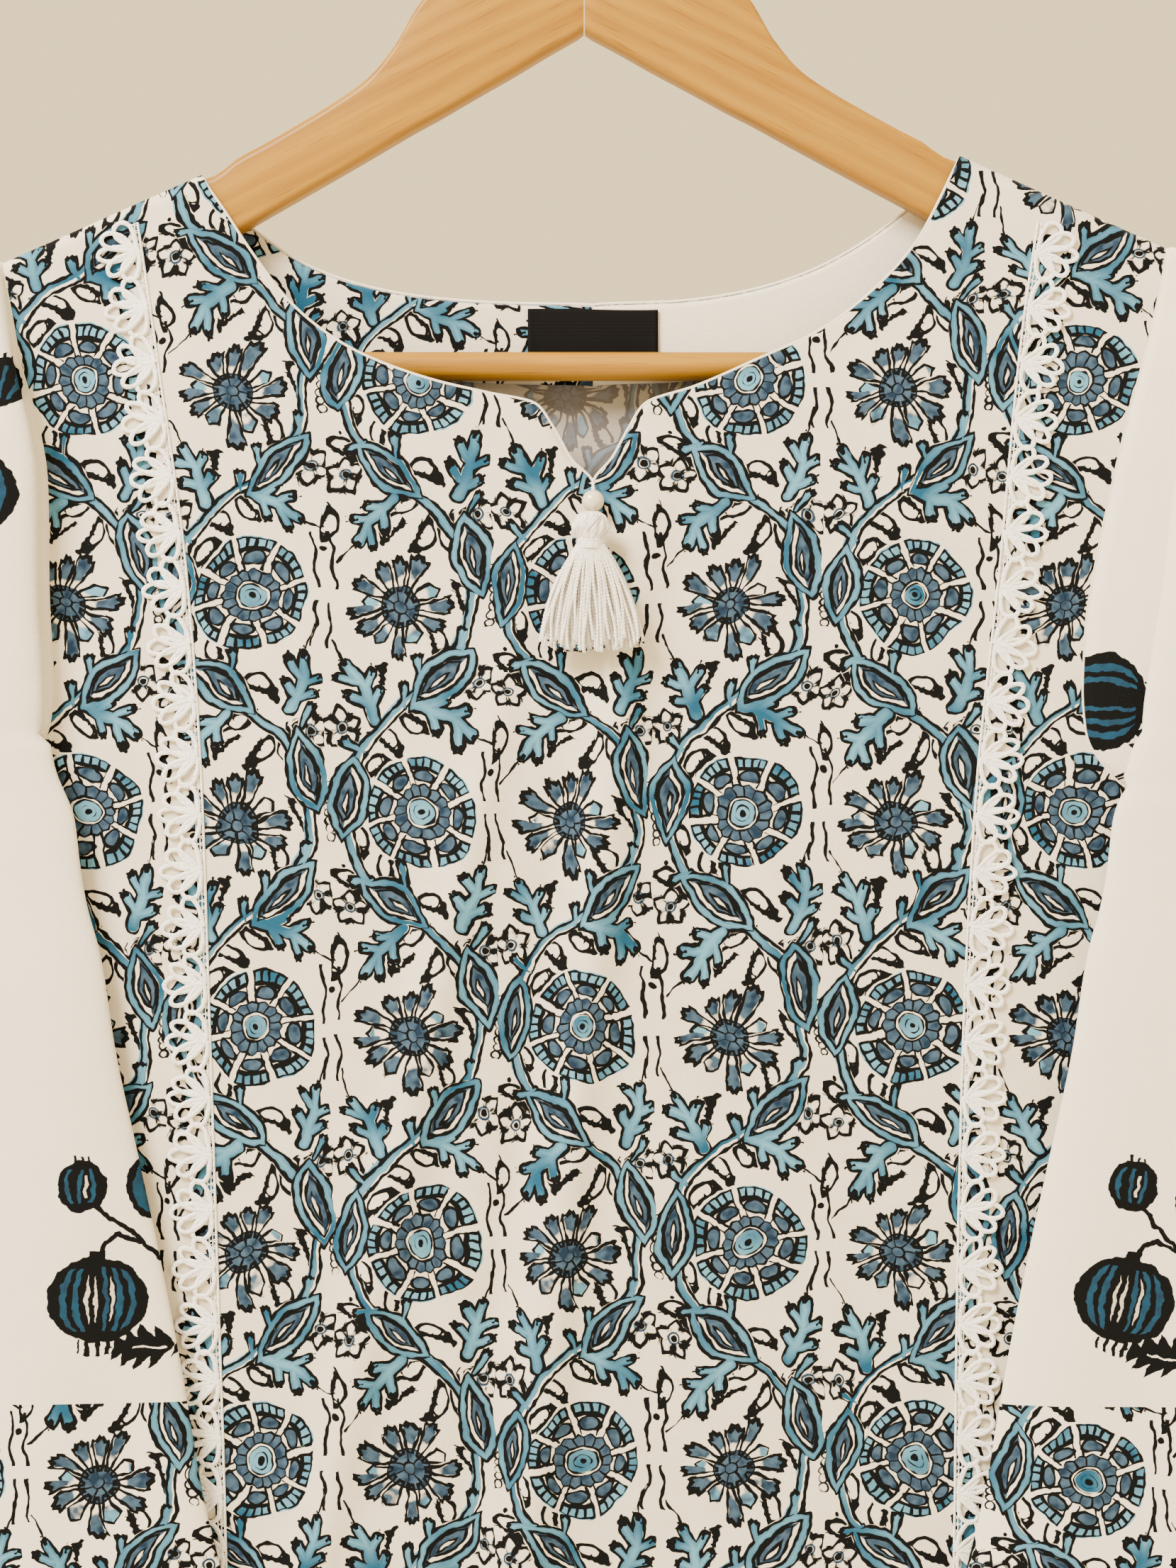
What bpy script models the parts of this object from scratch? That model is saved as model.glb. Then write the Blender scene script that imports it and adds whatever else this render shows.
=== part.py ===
"""A printed cotton salwar kameez suit on a wooden hanger.

The suit hangs flat. The tunic's shoulders lie on the hanger's arms, its sleeves fall in front of
its side seams, and the trousers hang inside it from two tapes over the hanger's bar.

Axes: X to the viewer's right, Y away from the viewer, Z up, with the origin at the inner top of
the hook. The tables below give x in millimetres from the middle, and a drop, in millimetres down
from the lowest corner of the hanger's arms. Y is worked out as how far forward the cloth lies.
"""
import math

import bmesh
import bpy
import numpy as np
from mathutils import Vector
from mathutils.bvhtree import BVHTree

MM = 0.001
SIDES = {"left": -1, "right": 1}

# hanger, millimetres
NECK_RISE = 58.0            # top of the wood above the arms' lowest corner
HOOK_REACH = 62.0           # inner top of the hook above the wood
APEX_TO_ORIGIN = NECK_RISE + HOOK_REACH
HOOK_INNER_RADIUS = 19.0
HOOK_WIRE_RADIUS = 2.1
HOOK_COLLAR_RADIUS = 6.0
ARM_HALF_DEPTH = 6.0
ARM_EDGE_RADIUS = 5.0
ARM_TILT = 0.019            # the viewer's right arm rides this much higher for each mm outward
BAR_RADIUS = 4.95
BAR_DROP = 114.2
BAR_HALF_LENGTH = 181.7

# cloth, millimetres
GAP = 0.35                  # left between pieces where they are sewn or touch
BODY_WALL = 1.2
TRIM_WALL = 1.0
LACE_WALL = 0.9
LACE_LIFT = 0.9             # from the panel to the lace, whose fans bridge its facets
SEAM_HALF = 0.45            # from the suit's middle plane to a seam's cut edge
SEAT = 1.6                  # from the shoulder seam down to the wood under it
SHOULDER_ROUND = 5.0        # drop over which the shoulder turns down over the arm
SIDE_ROUND = 36.0           # width over which the side turns back to its seam
CENTRE_X = 3.0              # the V notch and the centre line lie a little to the right

LACE_WIDTH = 17.0
LACE_PITCH = 19.2
LACE_TOP, LACE_BOTTOM = 66.0, 1047.0
FACING_DEPTH = 28.0
FACING_START = 0.03          # the row where the facing starts, under the shoulder's turn
LABEL_WIDTH, LABEL_DEPTH = 45.0, 22.0
PEARL_RADIUS, PEARL_DROP = 3.8, 161.6
TASSEL_DROP = 171.4


def table(names, rows):
    """A short table read by column: each name gives an array with a value for each row."""
    return dict(zip(names.split(), np.array(rows, dtype=float).T))


# The hanger's arms, outward from the glued centre: the wood's upper and lower edge.
ARM = table("x top bottom", [
    (0.2, -58.0, 0.5), (12, -57, 7), (24, -52, 14), (34, -43, 19.5), (42, -32, 24),
    (50, -19, 28.5), (57.6, -9.2, 32.5), (65, 3.5, 36.7), (74.3, 14.5, 42), (85, 22, 48),
    (96.7, 29, 54.5), (112, 37.5, 63), (130, 46, 73.5), (150, 55, 85), (170, 64, 97),
    (180, 68.5, 103), (187, 71.5, 121), (195, 76, 123), (201, 82, 120), (205, 90, 112)])

# Front panel. Row is the place down the panel: 0 the shoulder seam, 1 the hem. The inner edge
# runs down the neckline and the notch to the centre line, the outer edge down the armhole to the
# underarm and the side. A panel's left and right halves differ as the suit hangs a little askew.
FRONT = table(
    "row left_in_x left_in right_in_x right_in left_out_x left_out right_out_x right_out", [
        (0.00, -131.0, 49.0, 128.5, 42.4, -198.5, 79.0, 198.8, 74.0),
        (0.03, -127.5, 55.0, 125.3, 49.6, -197.2, 86.0, 197.4, 81.5),
        (0.06, -123.0, 61.5, 121.8, 57.0, -195.2, 96.0, 195.4, 91.5),
        (0.11, -113.5, 76.0, 113.0, 73.0, -191.7, 114.0, 191.2, 109.0),
        (0.17, -99.0, 94.5, 98.5, 89.0, -185.0, 137.0, 185.4, 130.0),
        (0.23, -78.6, 109.5, 80.0, 103.0, -182.3, 154.5, 180.2, 151.0),
        (0.28, -51.8, 119.8, 58.0, 113.2, -181.8, 172.0, 175.5, 172.0),
        (0.32, -32.8, 124.3, 38.0, 122.0, -181.6, 188.0, 172.3, 188.0),
        (0.35, -17.0, 127.8, 21.0, 127.8, -181.2, 200.0, 170.3, 200.0),
        (0.38, -10.6, 136.0, 15.4, 136.0, -180.4, 212.0, 169.3, 213.0),
        (0.41, -4.4, 147.0, 9.6, 146.5, -179.8, 224.0, 168.8, 226.0),
        (0.44, 3.0, 155.8, 3.0, 155.8, -181.0, 237.0, 169.9, 240.0),
        (0.48, 3.0, 172.0, 3.0, 172.0, -189.0, 252.0, 179.0, 255.0),
        (0.52, 3.0, 192.0, 3.0, 192.0, -206.0, 267.0, 200.0, 269.0),
        (0.56, 3.0, 218.0, 3.0, 218.0, -227.0, 278.0, 225.0, 279.0),
        (0.60, 3.0, 250.0, 3.0, 250.0, -244.0, 285.0, 244.0, 285.0),
        (0.64, 3.0, 290.0, 3.0, 290.0, -245.5, 304.0, 245.5, 304.0),
        (0.70, 3.0, 350.0, 3.0, 350.0, -244.0, 355.0, 244.0, 355.0),
        (0.76, 3.0, 430.0, 3.0, 430.0, -243.0, 432.0, 243.0, 432.0),
        (0.82, 3.0, 520.0, 3.0, 520.0, -248.0, 521.0, 248.0, 521.0),
        (0.86, 3.0, 590.0, 3.0, 590.0, -255.0, 590.0, 255.0, 590.0),
        (0.93, 3.0, 780.0, 3.0, 780.0, -268.0, 780.0, 268.0, 780.0),
        (1.00, 3.0, 1050.0, 3.0, 1050.0, -280.0, 1048.0, 280.0, 1048.0)])

# Back panel: a shallow neckline, and armholes that scoop in less than the front's.
BACK = table(
    "row left_in_x left_in right_in_x right_in left_out_x left_out right_out_x right_out", [
        (0.00, -131.0, 49.0, 128.5, 42.4, -198.5, 79.0, 198.8, 74.0),
        (0.03, -127.5, 53.5, 125.0, 46.5, -198.0, 86.0, 198.2, 81.5),
        (0.06, -122.5, 58.5, 120.5, 51.0, -197.2, 96.0, 197.4, 91.5),
        (0.11, -112.0, 67.5, 111.0, 59.5, -195.6, 114.0, 195.6, 109.0),
        (0.17, -96.0, 78.0, 94.5, 71.5, -193.0, 137.0, 193.0, 130.0),
        (0.23, -75.0, 85.5, 76.0, 81.0, -191.4, 154.5, 191.0, 151.0),
        (0.28, -52.0, 89.5, 54.0, 87.5, -190.4, 172.0, 189.6, 172.0),
        (0.32, -28.0, 91.2, 32.0, 90.6, -190.0, 188.0, 188.8, 188.0),
        (0.35, 3.0, 92.0, 3.0, 92.0, -190.0, 200.0, 188.5, 200.0),
        (0.41, 3.0, 120.0, 3.0, 120.0, -191.0, 224.0, 189.5, 226.0),
        (0.48, 3.0, 160.0, 3.0, 160.0, -199.0, 252.0, 197.0, 255.0),
        (0.52, 3.0, 186.0, 3.0, 186.0, -212.0, 267.0, 209.0, 269.0),
        (0.56, 3.0, 216.0, 3.0, 216.0, -229.0, 278.0, 228.0, 279.0),
        (0.60, 3.0, 250.0, 3.0, 250.0, -244.0, 285.0, 244.0, 285.0),
        (0.64, 3.0, 290.0, 3.0, 290.0, -245.5, 304.0, 245.5, 304.0),
        (0.70, 3.0, 350.0, 3.0, 350.0, -244.0, 355.0, 244.0, 355.0),
        (0.76, 3.0, 430.0, 3.0, 430.0, -243.0, 432.0, 243.0, 432.0),
        (0.82, 3.0, 520.0, 3.0, 520.0, -248.0, 521.0, 248.0, 521.0),
        (0.86, 3.0, 590.0, 3.0, 590.0, -255.0, 590.0, 255.0, 590.0),
        (0.93, 3.0, 780.0, 3.0, 780.0, -268.0, 780.0, 268.0, 780.0),
        (1.00, 3.0, 1052.0, 3.0, 1052.0, -280.0, 1050.0, 280.0, 1050.0)])
ARMHOLE_END = 0.60          # the row at the underarm
SLIT_TOP = 0.86             # the row where the side seams open into slits
NOTCH_END = 0.44            # the row at the bottom of the notch
BACK_NECK_END = 0.35        # the row where the back neckline reaches the centre

# How far from the suit's middle plane the panels hang.
HANG = table("drop front back", [
    (40, 7.9, 9.2), (90, 8.4, 9.6), (120, 10.5, 10.4), (160, 12.6, 12.0), (230, 15.0, 14.5),
    (300, 17.0, 16.5), (600, 17.0, 16.5), (1052, 17.0, 16.0)])

# Soft vertical folds: x at the top and the bottom of the fold, the drops over which it grows to
# its full height, its height (forward is positive) and its half width.
FOLDS = table("x_top x_bottom from to height width", [
    (-12, -44, 150, 300, 4.2, 8.0), (23, 12, 130, 230, 5.4, 8.5), (4, -16, 170, 330, -2.2, 9.0),
    (-205, -222, 600, 1050, 7.0, 26), (-72, -84, 480, 1050, 5.0, 20),
    (72, 78, 460, 1050, 5.0, 20), (200, 216, 610, 1050, 6.5, 27),
    (-165, -178, 590, 1050, -4.0, 20), (166, 170, 590, 1050, -4.0, 20)])
BACK_FOLDS = table("x_top x_bottom from to height width", [
    (-60, -84, 260, 900, 5.0, 20), (48, 66, 240, 900, 5.5, 22), (-4, -8, 300, 1000, -3.0, 20),
    (-160, -190, 420, 1050, 6.5, 26), (158, 182, 460, 1050, 6.0, 25)])

# Level slices through a sleeve, by their drop below the shoulder's tip: where the outer fold lies
# and how far forward, and how far the front and the back layer stand off the straight line.
SLEEVE = table("below out_x out_y front back", [
    (0, 201.5, 0, 4, 4), (6, 220, 1, 9, 10), (19, 237, 2.5, 13, 14), (41, 253, 5.5, 14.5, 17),
    (69, 265, 9, 15, 18), (101, 273, 12, 15, 17), (137, 279, 15, 14.5, 14), (183, 284, 18, 12, 10),
    (206, 286, 19.5, 10.5, 8), (239, 288, 21, 9.5, 7), (301, 291, 23, 9, 6), (436, 297, 25, 8.5, 5.5),
    (525, 299, 25.5, 8.5, 5.5)])
# The sleeve's inner fold, where the slack under the arm is tucked behind its front layer.
TUCK = table("drop x", [
    (238, 181), (252, 178.5), (269, 172), (285, 170), (297, 168), (316, 163), (348, 158), (376, 152),
    (413, 144), (459, 135), (495, 129), (524, 122), (602, 104)])
LEAST_TUCK = 2.5             # a slice with less slack than this has no tuck
TUCK_FORWARD = 25.5          # how far forward the inner fold lies
TUCK_LIES = 20.4             # how far forward the tuck lies over the panel's front
RIGHT_SLEEVE_OUT = 6.5       # the right sleeve's inner fold lies this much further out
SLEEVE_KNEE_X = 247.0        # where the back layer leaves the underarm, clear of the side seam
SLEEVE_HUNG = 335.0          # the drop where the back layer has come in front of the side seam
FRONT_SPANS, BACK_SPANS = 7, 5

# The lace's inner edge, where it meets the panel's middle.
LACE = table("drop left_x right_x", [
    (40, -156.0, 158.5), (110, -145.5, 148.1), (186, -134.8, 140.6), (261, -129.3, 132.5),
    (340, -126.6, 128.2), (437, -123.5, 125.9), (501, -121.5, 125.2), (780, -116, 120),
    (1050, -112, 116)])

# One fan of the lace: a diamond hole in each of its two round petals. Along runs down the
# edging, in parts of a fan; across runs out from the inner edge, in parts of the width.
FAN_EDGE = table("along across", [(0.0, 0.70), (0.24, 0.98), (0.5, 0.90), (0.76, 0.98)])
PETAL_HOLE = table("along across", [(0.0, -0.17), (0.12, 0.0), (0.0, 0.15), (-0.12, 0.0)])
PETAL_ALONG, PETAL_ACROSS = 0.25, 0.68

# Trousers: flattened rings, as the drop, the inner and outer fold and the half depth.
BELT = table("drop half_width depth", [
    (168.0, 150, 8.2), (190, 153, 8.2), (230, 166, 8.0), (290, 184, 7.6), (347.7, 198, 7.0)])
LEG = table("drop in_x out_x depth", [
    (348.2, 0.3, 198, 7.0), (400, 0.3, 206, 7.0), (450, 0.3, 212, 6.8), (472, 1.0, 213, 6.6),
    (540, 5, 212, 6.4), (660, 11, 209, 6.2), (800, 17, 204, 6.0), (940, 22, 198, 5.8),
    (1070, 26, 192, 5.6)])
CUFF = table("drop in_x out_x depth", [(1070.5, 26, 192, 5.6), (1092, 26.5, 191, 5.5),
                                       (1115, 27, 190, 5.4)])
CROTCH_DROP = 471.0
FLAT_RING_POWER = 0.4        # under 1, the layers lie flatter and turn more tightly at the folds
TAPE_X, TAPE_HALF_WIDTH, TAPE_WALL, TAPE_END = 108.0, 6.0, 1.0, 186.0

# Tassel: a wound head and neck above a flat skirt, as the drop and the half sizes.
TASSEL_HEAD = table("drop half_width half_depth", [
    (165.75, 3.0, 2.8), (167.4, 5.2, 4.8), (171.0, 6.4, 5.6), (174.0, 5.2, 4.8),
    (175.6, 4.4, 4.2), (177.4, 4.5, 4.2), (181.0, 6.8, 4.8), (186.0, 9.6, 5.2)])
STRAND_ROWS, STRANDS_IN_ROW, STRAND_RADIUS = 2, 16, 0.42
STRAND_ROW_OFFSET = 2.4      # a row's place in front of or behind the skirt's middle
STRAND_TOP, STRAND_END = 184.0, 211.5
SKIRT_HALF_TOP, SKIRT_HALF_BOTTOM = 8.0, 16.8

COLOURS = {  # sRGB, roughness, metallic
    "wood": ((0.85, 0.69, 0.42), 0.35, 0.0), "steel": ((0.76, 0.76, 0.78), 0.25, 1.0),
    "printed cotton": ((0.80, 0.82, 0.82), 0.85, 0.0), "white cotton": ((0.91, 0.88, 0.83), 0.88, 0.0),
    "lace": ((0.94, 0.91, 0.87), 0.8, 0.0), "label": ((0.12, 0.11, 0.10), 0.7, 0.0),
    "pearl": ((0.93, 0.91, 0.88), 0.25, 0.0), "thread": ((0.94, 0.92, 0.87), 0.7, 0.0)}


# ---------------------------------------------------------------- reading tables

def smooth(at, knots, values):
    """Read a column between its rows: a cubic through them that never overshoots a row, since
    its slope at a row is the harmonic mean of the slopes on both sides, or none at a turn."""
    at = np.asarray(at, dtype=float)
    step = np.diff(knots)
    rise = np.diff(values) / step
    both = rise[:-1] * rise[1:]
    total = np.where(both > 0, rise[:-1] + rise[1:], 1.0)
    slope = np.concatenate([rise[:1], np.where(both > 0, 2 * both / total, 0.0), rise[-1:]])
    i = np.clip(np.searchsorted(knots, at, side="right") - 1, 0, len(step) - 1)
    f = (at - knots[i]) / step[i]
    start = (1 + 2 * f) * (1 - f) ** 2 * values[i] + f * (1 - f) ** 2 * step[i] * slope[i]
    end = f * f * (3 - 2 * f) * values[i + 1] - f * f * (1 - f) * step[i] * slope[i + 1]
    return start + end


def ramp(value, low, high):
    """0 below low, 1 above high, and an S curve between them."""
    f = np.clip((value - low) / (high - low), 0.0, 1.0)
    return f * f * (3 - 2 * f)


def bulge(f):
    """A half ellipse over 0 to 1: upright at both ends, 1 in the middle."""
    return np.sqrt(np.clip(1 - (2 * np.asarray(f) - 1) ** 2, 0.0, 1.0))


# ---------------------------------------------------------------- the body panels

def shoulder_drop(x):
    """The shoulder seam's drop above any x, level inside the neck points."""
    left, right = FRONT["left_in_x"][0], FRONT["right_in_x"][0]
    left_tip, right_tip = FRONT["left_out_x"][0], FRONT["right_out_x"][0]
    knots = np.array([left_tip, left, right, right_tip])
    drops = np.array([FRONT["left_out"][0], FRONT["left_in"][0],
                      FRONT["right_in"][0], FRONT["right_out"][0]])
    return np.interp(x, knots, drops)


def folds_at(folds, x, drop):
    """The height of all folds at a place: each is a bell across, grown over its drops."""
    height = np.zeros(np.broadcast(x, drop).shape)
    for i in range(len(folds["x_top"])):
        start, end = folds["from"][i], folds["to"][i]
        along = (drop - start) / (end - start)
        centre = folds["x_top"][i] + (folds["x_bottom"][i] - folds["x_top"][i]) * along
        bell = np.exp(-((x - centre) / folds["width"][i]) ** 2)
        height = height + folds["height"][i] * ramp(drop, start, end) * bell
    return height


def panel_point(panel, facing, side, row, across):
    """A place on a body panel, in x, y and drop. Across is 0 at the inner edge and 1 at the
    outer one. The panel hangs off the middle plane by HANG and its folds, turns in over the arm
    by a quarter ellipse at the shoulder, and by another at the closed part of the side."""
    edge = {name: smooth(row, panel["row"], panel[f"{side}_{name}"])
            for name in ("in_x", "in", "out_x", "out")}
    x = edge["in_x"] + (edge["out_x"] - edge["in_x"]) * across
    drop = edge["in"] + (edge["out"] - edge["in"]) * across
    column, folds = ("front", FOLDS) if facing < 0 else ("back", BACK_FOLDS)
    hang = smooth(drop, HANG["drop"], HANG[column]) + folds_at(folds, x, drop)
    below = np.clip((drop - shoulder_drop(x)) / SHOULDER_ROUND, 0.0, 1.0)
    over_arm = np.sqrt(1 - (1 - below) ** 2)
    inward = np.clip(np.abs(edge["out_x"] - x) / SIDE_ROUND, 0.0, 1.0)
    closed = ramp(row, 0.47, ARMHOLE_END) * (1 - 0.6 * ramp(row, SLIT_TOP, SLIT_TOP + 0.04))
    at_side = 1 - closed * (1 - np.sqrt(1 - (1 - inward) ** 2))
    y = facing * (SEAM_HALF + (hang - SEAM_HALF) * over_arm * at_side)
    return np.stack([x, y, drop], axis=-1)


def build_panel(name, panel, facing, rows, columns, split_until):
    """A body panel as one sheet: two halves that share their centre column below split_until."""
    corners, faces, ids = [], [], {}
    for side in SIDES:
        for j, row in enumerate(rows):
            for i in range(columns + 1):
                shared = i == 0 and row >= split_until
                key = ("centre", j) if shared else (side, j, i)
                if key not in ids:
                    ids[key] = len(corners)
                    across = math.sin(0.5 * math.pi * i / columns) ** 0.9
                    corners.append(panel_point(panel, facing, side, row, across))
                ids[(side, j, i)] = ids[key]
        for j in range(len(rows) - 1):
            for i in range(columns):
                quad = [ids[(side, j + dj, i + di)]
                        for dj, di in ((0, 0), (0, 1), (1, 1), (1, 0))]
                faces.append(quad if SIDES[side] * facing < 0 else quad[::-1])
    return sheet_object(name, corners, faces, BODY_WALL, "printed cotton")


# ---------------------------------------------------------------- the sleeves

def armhole(panel, facing, side, f):
    """The armhole seam's sleeve side, f from 0 at the shoulder to 1 at the underarm: the
    panel's own edge moved out by half a wall and the seam's gap."""
    row = np.asarray(f) * ARMHOLE_END
    here = panel_point(panel, facing, side, row, 1.0)
    ahead = panel_point(panel, facing, side, np.clip(row + 0.004, 0, 1), 1.0)
    behind = panel_point(panel, facing, side, np.clip(row - 0.004, 0, 1), 1.0)
    along = (ahead - behind)[..., (0, 2)]
    along = along / np.linalg.norm(along, axis=-1, keepdims=True)
    out = np.stack([along[..., 1], -along[..., 0]], axis=-1) * SIDES[side]
    lift = TRIM_WALL / 2 + 2 * GAP
    return np.stack([here[..., 0] + out[..., 0] * lift, here[..., 1],
                     here[..., 2] + out[..., 1] * lift], axis=-1)


def sleeve_slice(side, start, end):
    """A level slice of a sleeve, from the armhole's front edge to its back edge: the tuck that
    runs in over the panel to the inner fold, the front layer out to the outer fold, and the
    back layer. A layer is the line between its ends with a half ellipse added."""
    sign, drop = SIDES[side], start[2]
    below = drop - armhole(FRONT, -1, side, 0.0)[2]
    at = {name: float(smooth(below, SLEEVE["below"], SLEEVE[name])) for name in SLEEVE}
    seam_x, seam_y = sign * start[0], start[1]
    more = RIGHT_SLEEVE_OUT if side == "right" else 0.0
    fold_x = float(smooth(drop, TUCK["drop"], TUCK["x"])) + more
    if drop < TUCK["drop"][0] or fold_x > seam_x - LEAST_TUCK:
        fold_x = seam_x
    tucked = float(ramp(seam_x - fold_x, 0.0, 14.0))
    fold_y = seam_y + (-TUCK_FORWARD - seam_y) * tucked
    behind = 1 + seam_y / TUCK_LIES
    tuck = [(seam_x, seam_y), (seam_x + 1.6 * behind - 1.2 * (1 - behind), (seam_y - TUCK_LIES) / 2),
            (seam_x + 0.6 * behind - 3.0 * (1 - behind), -TUCK_LIES),
            ((seam_x + fold_x) / 2, -(TUCK_LIES + 0.3 * (TUCK_FORWARD - TUCK_LIES)))]
    if tucked == 0.0:
        tuck = [(seam_x, seam_y)] * len(tuck)
    part = (1 - np.cos(np.pi * np.arange(FRONT_SPANS + 1) / FRONT_SPANS)) / 2
    front_x = fold_x + (at["out_x"] - fold_x) * part
    front_y = fold_y + (-at["out_y"] - fold_y) * part - at["front"] * bulge(part)
    part = (1 - np.cos(np.pi * np.arange(1, BACK_SPANS + 1) / BACK_SPANS)) / 2
    back_x = at["out_x"] + (sign * end[0] - at["out_x"]) * part
    back_y = -at["out_y"] + (end[1] + at["out_y"]) * part + at["back"] * bulge(part)
    x = np.concatenate([[p[0] for p in tuck], front_x, back_x])
    y = np.concatenate([[p[1] for p in tuck], front_y, back_y])
    across = np.concatenate([np.zeros(len(tuck)), np.linspace(0.0, 1.0, len(x) - len(tuck))])
    return np.stack([sign * x, y, drop + (end[2] - drop) * across], axis=-1)


def build_sleeve(side, seam_places, drops):
    """A sleeve as level slices: open at the armhole down to the underarm, closed below it."""
    slices = []
    for f in seam_places:
        slices.append(sleeve_slice(side, armhole(FRONT, -1, side, f), armhole(BACK, 1, side, f)))
    slices[0][:] = (slices[0][0] + slices[0][-1]) / 2
    under = (slices[-1][0] + slices[-1][-1]) / 2
    under[0] = SIDES[side] * (SLEEVE_KNEE_X - 0.8)
    slices[-1][0] = slices[-1][-1] = under
    for drop in drops:
        forward = TUCK_LIES * float(ramp(drop, under[2], SLEEVE_HUNG))
        knee = np.array([SIDES[side] * SLEEVE_KNEE_X, under[1] - forward, drop])
        slices.append(sleeve_slice(side, knee, knee))
    corners, faces = welded(np.concatenate(slices),
                            grid_faces(len(slices), len(slices[0]), flip=SIDES[side] > 0))
    return sheet_object(f"sleeve_{side}", corners, faces, TRIM_WALL, "white cotton")


# ---------------------------------------------------------------- trim on the panels

def surface_below(obj):
    """A function giving how far away (in y, mm) an object's nearest face lies at x and drop."""
    graph = bpy.context.evaluated_depsgraph_get()
    tree = BVHTree.FromObject(obj, graph)

    def reach(x, drop):
        start = Vector((x * MM, -1.0, -(drop + APEX_TO_ORIGIN) * MM))
        hit = tree.ray_cast(start, Vector((0, 1, 0)))[0]
        return None if hit is None else hit.y / MM
    return reach


def build_lace(side, reach):
    """The edging: a strip of fans down the panel, each with a hole in its two round petals."""
    sign = SIDES[side]
    fans = int((LACE_BOTTOM - LACE_TOP) / LACE_PITCH)
    corners, faces = [], []

    def add(along, across):
        drop = LACE_TOP + along * LACE_PITCH
        slope = (smooth(drop + 1, LACE["drop"], LACE[f"{side}_x"])
                 - smooth(drop - 1, LACE["drop"], LACE[f"{side}_x"])) / 2
        out = sign * LACE_WIDTH * across
        x = smooth(drop, LACE["drop"], LACE[f"{side}_x"]) + out
        drop = drop - out * slope
        corners.append((x, reach(x, drop) - LACE_LIFT - LACE_WALL / 2, drop))
        return len(corners) - 1

    inner = [add(i / 2, 0.0) for i in range(2 * fans + 1)]
    outer = [add(i + a, c) for i in range(fans)
             for a, c in zip(FAN_EDGE["along"], FAN_EDGE["across"])]
    outer.append(add(fans, FAN_EDGE["across"][0]))
    for i in range(fans):
        for half in (0, 1):
            centre = i + 0.5 * half + PETAL_ALONG
            near, end_a, far, end_b = [
                add(centre + a, PETAL_ACROSS + c)
                for a, c in zip(PETAL_HOLE["along"], PETAL_HOLE["across"])]
            low, high = inner[2 * i + half], inner[2 * i + half + 1]
            rim = outer[4 * i + 2 * half:4 * i + 2 * half + 3]
            faces += [[low, high, near], [low, near, end_b, rim[0]], [high, rim[2], end_a, near],
                      [rim[0], end_b, far, rim[1]], [rim[2], rim[1], far, end_a]]
    if sign > 0:
        faces = [face[::-1] for face in faces]
    return sheet_object(f"lace_{side}", corners, faces, LACE_WALL, "lace")


def build_facing(side, reach):
    """Half of the back neck facing: a band under the neckline, on the panel's inner face."""
    columns, bands = 9, 3
    corners = []
    for i in range(columns + 1):
        row = FACING_START + (BACK_NECK_END - FACING_START) * i / columns
        x = float(smooth(row, BACK["row"], BACK[f"{side}_in_x"]))
        x += SIDES[side] * (GAP / 2) * (i == columns)
        top = float(smooth(row, BACK["row"], BACK[f"{side}_in"]))
        for j in range(bands + 1):
            drop = top + 0.8 + (FACING_DEPTH - 0.8) * j / bands
            corners.append((x, reach(x, drop) - GAP - TRIM_WALL / 2, drop))
    faces = grid_faces(columns + 1, bands + 1, flip=SIDES[side] < 0)
    return sheet_object(f"neck_facing_{side}", corners, faces, TRIM_WALL,
                        "printed cotton" if side == "left" else "white cotton")


def build_label(reaches):
    """The woven label, flat on both halves of the facing."""
    columns, bands = 6, 2
    corners = []
    for i in range(columns + 1):
        for j in range(bands + 1):
            x = CENTRE_X + LABEL_WIDTH * (i / columns - 0.5)
            drop = BACK["left_in"][list(BACK["row"]).index(BACK_NECK_END)] + 1.6 + LABEL_DEPTH * j / bands
            found = [reach(x + step, drop) for reach in reaches for step in (-0.4, 0.4)]
            nearest = min(y for y in found if y is not None)
            corners.append((x, nearest - GAP - TRIM_WALL / 2, drop))
    faces = grid_faces(columns + 1, bands + 1, flip=True)
    return sheet_object("neck_label", corners, faces, TRIM_WALL, "label")


def build_pearl(reach):
    """The bead under the notch, against the panel."""
    y = reach(CENTRE_X, PEARL_DROP) - GAP - PEARL_RADIUS
    mesh = bmesh.new()
    bmesh.ops.create_uvsphere(mesh, u_segments=12, v_segments=8, radius=PEARL_RADIUS * MM)
    bmesh.ops.translate(mesh, verts=mesh.verts, vec=to_world((CENTRE_X, y, PEARL_DROP)))
    return mesh_object("neck_pearl", mesh, "pearl")


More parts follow.
